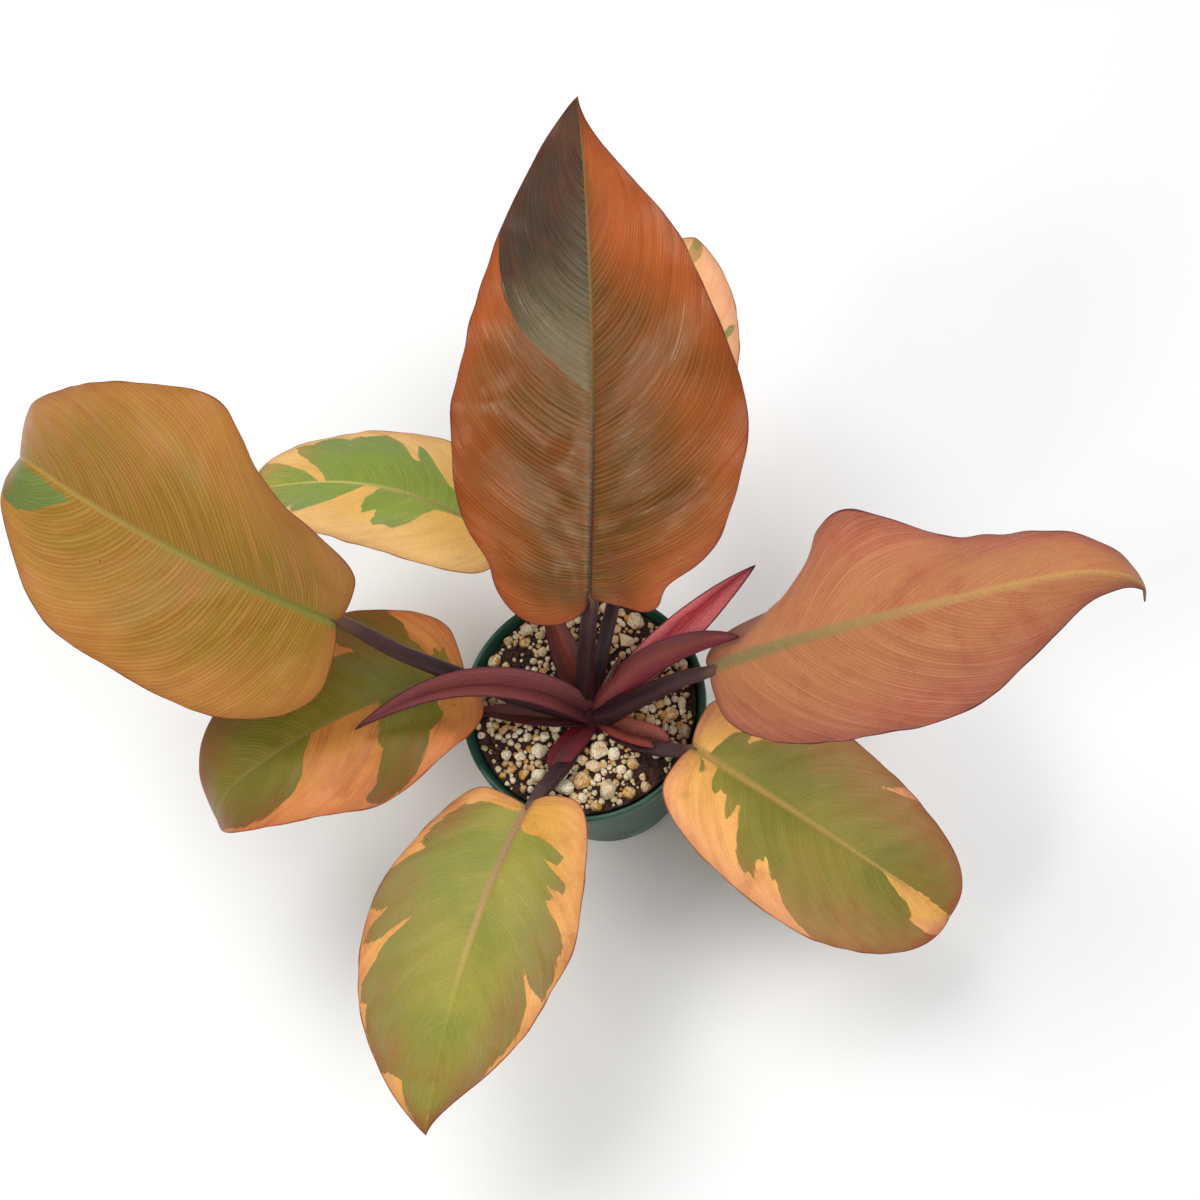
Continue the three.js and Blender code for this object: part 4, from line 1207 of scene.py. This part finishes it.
def pot_face():
    """Moulded dark green plastic with faint scuffs, a lime film low down and a fine mould texture."""
    g = Graph("pot_plastic", IOR=1.48)
    place = g.place()
    cloud = g.noise(place, 60, detail=3)
    grain = g.noise(place, 2600, detail=2)
    scuff = g.noise(g.add("Mapping", {0: place, 3: (1, 1, 14)}), 160, detail=4, roughness=0.7)
    height = split(g, place)[2]
    color = g.mix(g.ease(cloud, 0.3, 0.7), (0.08, 0.25, 0.19), (0.12, 0.32, 0.25))
    color = g.lay(color, (0.30, 0.44, 0.38), scuff, 0.6, 0.78, 0, 0.35)
    film = g.times(g.ease(height, 0.001, 0.02, 0.5, 0), g.ease(cloud, 0.35, 0.65))
    color = g.mix(film, color, (0.52, 0.54, 0.48))
    g.set("Base Color", color)
    g.set("Roughness", g.ease(scuff, 0.35, 0.75, 0.34, 0.55))
    normal = g.bump(scuff, 0.00012)
    g.set("Normal", g.bump(grain, 0.00005, under=normal))
    return g.material


def drain_cutters():
    """Plugs that cut the drain holes, on a circle in the pot's floor."""
    cutters = []
    for i in range(DRAIN_COUNT):
        f = (2 * i + 1) * math.pi / DRAIN_COUNT
        plug, faces = turned([(0, -3), (DRAIN_RADIUS, -3), (DRAIN_RADIUS, 4), (0, 4)], 40)
        plug += (DRAIN_CIRCLE * math.cos(f), DRAIN_CIRCLE * math.sin(f), 0)
        cutters.append(make_mesh(f"drain_{i}", plug, faces, []))
    return cutters


def pot():
    """The moulded pot with drain holes cut through its floor."""
    points, faces = turned(pot_profile(), 144)
    piece = make_mesh("pot_shell", points, faces, [pot_face()])
    cutters = drain_cutters()
    for cutter in cutters:
        cut = piece.modifiers.new("drain", "BOOLEAN")
        cut.operation = "DIFFERENCE"
        cut.solver = "EXACT"
        cut.object = cutter
    evaluated = piece.evaluated_get(bpy.context.evaluated_depsgraph_get())
    cut_mesh = bpy.data.meshes.new_from_object(evaluated)
    piece.modifiers.clear()
    piece.data = cut_mesh
    for cutter in cutters:
        bpy.data.objects.remove(cutter)
    cut_mesh.polygons.foreach_set("use_smooth", [True] * len(cut_mesh.polygons))
    cut_mesh.set_sharp_from_angle(angle=math.radians(40))
    settle(piece, "pot", "pot")


def soil_height(x, y):
    """The soil's crumbly surface."""
    swell = noise.fractal(Vector((x * 0.16, y * 0.16, 3.1)), 0.8, 2.1, 4)
    crumb = noise.noise(Vector((x * 0.9, y * 0.9, 7.7)))
    return SOIL_LEVEL - 0.2 + 0.9 * swell + 0.5 * crumb


def soil_inner(z):
    """The soil's radius where it fills the pot, a little clear of its wall."""
    heights = (POT_FLOOR, POT_HEIGHT - RIM_BAND - 1, POT_HEIGHT - 0.6)
    radii = (BASE_RADIUS - POT_WALL, RIM_RADIUS - 3.4, RIM_RADIUS - 1.7)
    return float(np.interp(z, heights, radii)) - 0.35


def soil_face():
    """Dark crumbly mix with paler fibres."""
    g = Graph("soil_mix", Roughness=0.95)
    place = g.place()
    cloud = g.noise(place, 180, detail=4, roughness=0.7)
    crumb = g.cells(place, 620)
    fibre = g.noise(g.add("Mapping", {0: place, 2: (0.4, 0.9, 0.2), 3: (1, 5, 1)}), 420, detail=3)
    color = g.mix(g.ease(cloud, 0.3, 0.7), (0.065, 0.04, 0.035), (0.26, 0.16, 0.11))
    color = g.lay(color, (0.40, 0.25, 0.16), fibre, 0.56, 0.68, 0, 0.8)
    color = g.lay(color, (0.42, 0.30, 0.20), crumb, 0.05, 0.2, 0.6, 0)
    g.set("Base Color", color)
    g.set("Normal", g.bump(g.plus(cloud, g.times(crumb, 0.6)), 0.0012))
    return g.material


def soil_bed():
    """Fills the pot with the dark part of the mix, rough on top."""
    wall_top = soil_inner(SOIL_LEVEL - 1)
    low = POT_FLOOR + 0.3
    side = [(soil_inner(z), z) for z in np.linspace(low, SOIL_LEVEL - 1.8, 14)]
    foot = [(0, low), (12, low), (BASE_RADIUS - POT_WALL - 0.6, low)]
    # The top's rings start at height 0, and each point is then raised to the mix's surface
    rings = [(r, 0) for r in np.linspace(wall_top, 0.5, 64)]
    points, faces = turned([*foot, *side, *rings, (0, 0)], 160)
    for i, (x, y, z) in enumerate(points):
        if z == 0:
            points[i, 2] = soil_height(x, y)
    settle(make_mesh("soil_bed", points, faces, [soil_face()]), "soil", "soil")


def rotation(angle, axis):
    """A turn about an axis, as a matrix of three rows."""
    return np.array(Matrix.Rotation(angle, 3, axis))


def stone(rng, radius, level):
    """A rounded chunk with flat broken faces, about its own centre."""
    sphere, faces = ICOSPHERES[level]
    cut = np.ones(len(sphere))
    for _ in range(rng.integers(9, 15)):
        way = rng.normal(size=3)
        way /= np.linalg.norm(way)
        facing = sphere @ way
        plane = rng.uniform(0.62, 0.88)
        cut = np.minimum(cut, np.where(facing > 1e-3, plane / np.maximum(facing, 1e-3), 9))
    shape = sphere * cut[:, None] * rng.uniform((0.85, 0.75, 0.6), (1.15, 1.05, 0.95))
    shape = shape * (1 + 0.05 * rng.normal(size=(len(sphere), 1)))
    turn = rotation(rng.uniform(0, 0.7), "X") @ rotation(rng.uniform(0, 6.28), "Z")
    spin = rotation(rng.uniform(0, 6.28), "Z")
    return radius * shape @ turn.T @ spin.T, faces


def icosphere(level):
    """Points and triangles of a ball of radius 1."""
    body = bmesh.new()
    bmesh.ops.create_icosphere(body, subdivisions=level, radius=1)
    points = np.array([v.co for v in body.verts])
    faces = np.array([[v.index for v in f.verts] for f in body.faces])
    body.free()
    return points, faces


ICOSPHERES = {level: icosphere(level) for level in (2, 3)}


def heap(name, chunks, material, slot):
    """Joins chunks, each with its own tone and stain, into one piece."""
    points, faces, tone, stain, start = [], [], [], [], 0
    for shape, own_faces, own_tone, own_stain in chunks:
        points.append(shape)
        faces.append(own_faces + start)
        tone.append(np.full(len(shape), own_tone))
        stain.append(np.full(len(shape), own_stain))
        start += len(shape)
    values = {"tone": np.concatenate(tone), "stain": np.concatenate(stain)}
    settle(make_mesh(name, np.vstack(points), np.vstack(faces), [material], values=values), slot)


def grain_face():
    """Porous pale stone, from chalky white to tan, with rusty stains and dark pits."""
    g = Graph("grain_stone", Roughness=0.88)
    place = g.place()
    tone, stain = g.attribute("tone"), g.attribute("stain")
    cloud = g.noise(place, 520, detail=4, roughness=0.65)
    pores = g.cells(place, 1900)
    fine = g.noise(place, 3200, detail=2)
    color = g.mix(tone, (0.82, 0.64, 0.34), (1.0, 0.96, 0.84))
    color = g.lay(color, (0.70, 0.58, 0.36), cloud, 0.3, 0.55, 0.45, 0)
    rust = g.times(g.ease(cloud, 0.44, 0.58), g.ease(stain, 0.1, 0.8))
    color = g.mix(rust, color, (0.80, 0.54, 0.13))
    color = g.lay(color, (0.30, 0.23, 0.16), pores, 0.08, 0.3, 0.75, 0)
    g.set("Base Color", color)
    height = g.plus(g.ease(pores, 0.05, 0.4), g.times(fine, 0.7))
    g.set("Normal", g.bump(g.plus(height, cloud), 0.0004))
    return g.material


def soil_spot(rng, clear):
    """A random place on the soil, clear of its edge by so much."""
    reach = (soil_inner(SOIL_LEVEL) - clear) * math.sqrt(rng.uniform())
    f = rng.uniform(0, 2 * math.pi)
    return reach * math.cos(f), reach * math.sin(f)


def grain_places(rng):
    """Measured large stones first, then smaller ones where room is left, few of them on bare patches."""
    places = list(LARGE_GRAINS)
    for _ in range(GRAIN_TRIES):
        if len(places) >= GRAIN_COUNT:
            break
        share = len(places) / GRAIN_COUNT
        r = max(0.45, (1.65 - 1.15 * share) * rng.uniform(0.75, 1.15))
        x, y = soil_spot(rng, r + 0.3)
        bare = any(math.hypot(x - bx, y - by) < size for bx, by, size in BARE_PATCHES)
        if bare and rng.uniform() < BARE_CHANCE:
            continue
        if math.dist((x, y), CROWN_AT) < CROWN_CLEAR + r:
            continue
        if any(math.hypot(x - ox, y - oy) < GRAIN_SPACING * (r + other) for ox, oy, other, *_ in places):
            continue
        places.append((x, y, r, rng.beta(2.2, 1.1), rng.beta(1.1, 1.6)))
    return places


def grains():
    """The mix's stones, half sunk in it."""
    rng = np.random.default_rng(GRAIN_SEED)
    chunks = []
    for x, y, r, tone, stain in grain_places(rng):
        shape, faces = stone(rng, 1.12 * r, 3 if r > 1.35 else 2)
        reach = math.hypot(x, y)
        limit = soil_inner(SOIL_LEVEL) - 1.05 * r - 0.3
        if reach > limit:
            x, y = x * limit / reach, y * limit / reach
        z = soil_height(x, y) + r * rng.uniform(0.25, 0.6)
        chunks.append((shape + (x, y, z), faces, tone, stain))
    heap("soil_grains", chunks, grain_face(), "soil")


def bark_face():
    """Fibrous dark bark."""
    g = Graph("bark_flake", Roughness=0.9)
    place = g.place()
    fibre = g.noise(g.add("Mapping", {0: place, 3: (1, 6, 1)}), 500, detail=4, roughness=0.7)
    color = g.mix(g.attribute("tone"), (0.10, 0.06, 0.045), (0.44, 0.25, 0.15))
    g.set("Base Color", g.lay(color, (0.22, 0.12, 0.08), fibre, 0.4, 0.7, 0, 0.6))
    g.set("Normal", g.bump(fibre, 0.0006))
    return g.material


def bark():
    """Dark flakes of bark and crumbs of peat between the stones."""
    rng = np.random.default_rng(BARK_SEED)
    chunks = []
    while len(chunks) < BARK_COUNT:
        long = rng.uniform(0.5, 1.9)
        x, y = soil_spot(rng, long + 0.4)
        if math.dist((x, y), CROWN_AT) < BARK_CLEAR + long:
            continue
        shape, faces = stone(rng, 1.0, 2)
        spin = rotation(rng.uniform(0, 6.28), "Z") @ rotation(rng.uniform(-0.4, 0.4), "Y")
        flat = shape * (long, long * rng.uniform(0.3, 0.6), rng.uniform(0.3, 0.5))
        z = soil_height(x, y) + rng.uniform(0.1, 0.7)
        chunks.append((flat @ spin.T + (x, y, z), faces, rng.beta(1.2, 2.2), 0))
    heap("soil_bark", chunks, bark_face(), "soil")


def floor():
    """A plain pale ground that reaches past the view."""
    g = Graph("floor", Roughness=0.6)
    speck = g.noise(g.place(), 6, detail=2)
    g.set("Base Color", g.mix(speck, (0.955, 0.96, 0.965), (0.975, 0.975, 0.975)))
    mesh = bpy.data.meshes.new("floor")
    corners = [(x * FLOOR_REACH, y * FLOOR_REACH, 0) for x, y in ((-1, -1), (1, -1), (1, 1), (-1, 1))]
    mesh.from_pydata(corners, [], [(0, 1, 2, 3)])
    mesh.materials.append(g.material)
    shown("floor", mesh)


def lamp(name, place, target, size, power, color):
    """A soft box that faces its target."""
    data = bpy.data.lights.new(name, "AREA")
    data.shape = "RECTANGLE"
    data.size, data.size_y = size
    data.energy = power
    data.color = color
    shown(name, data).matrix_world = aimed(place, target)


def studio():
    """A soft pale surround and three large lamps."""
    world = bpy.data.worlds.new("studio")
    bpy.context.scene.world = world
    world.use_nodes = True
    background = world.node_tree.nodes["Background"]
    background.inputs["Color"].default_value = SKY_COLOR
    background.inputs["Strength"].default_value = SKY_STRENGTH
    for name, settings in LAMPS.items():
        lamp(name, *settings)
    bpy.context.scene.view_settings.view_transform = "Standard"


camera()
for name in LEAVES:
    leaf(name)
bracts()
stalks()
crown()
pot()
soil_bed()
grains()
bark()
floor()
studio()
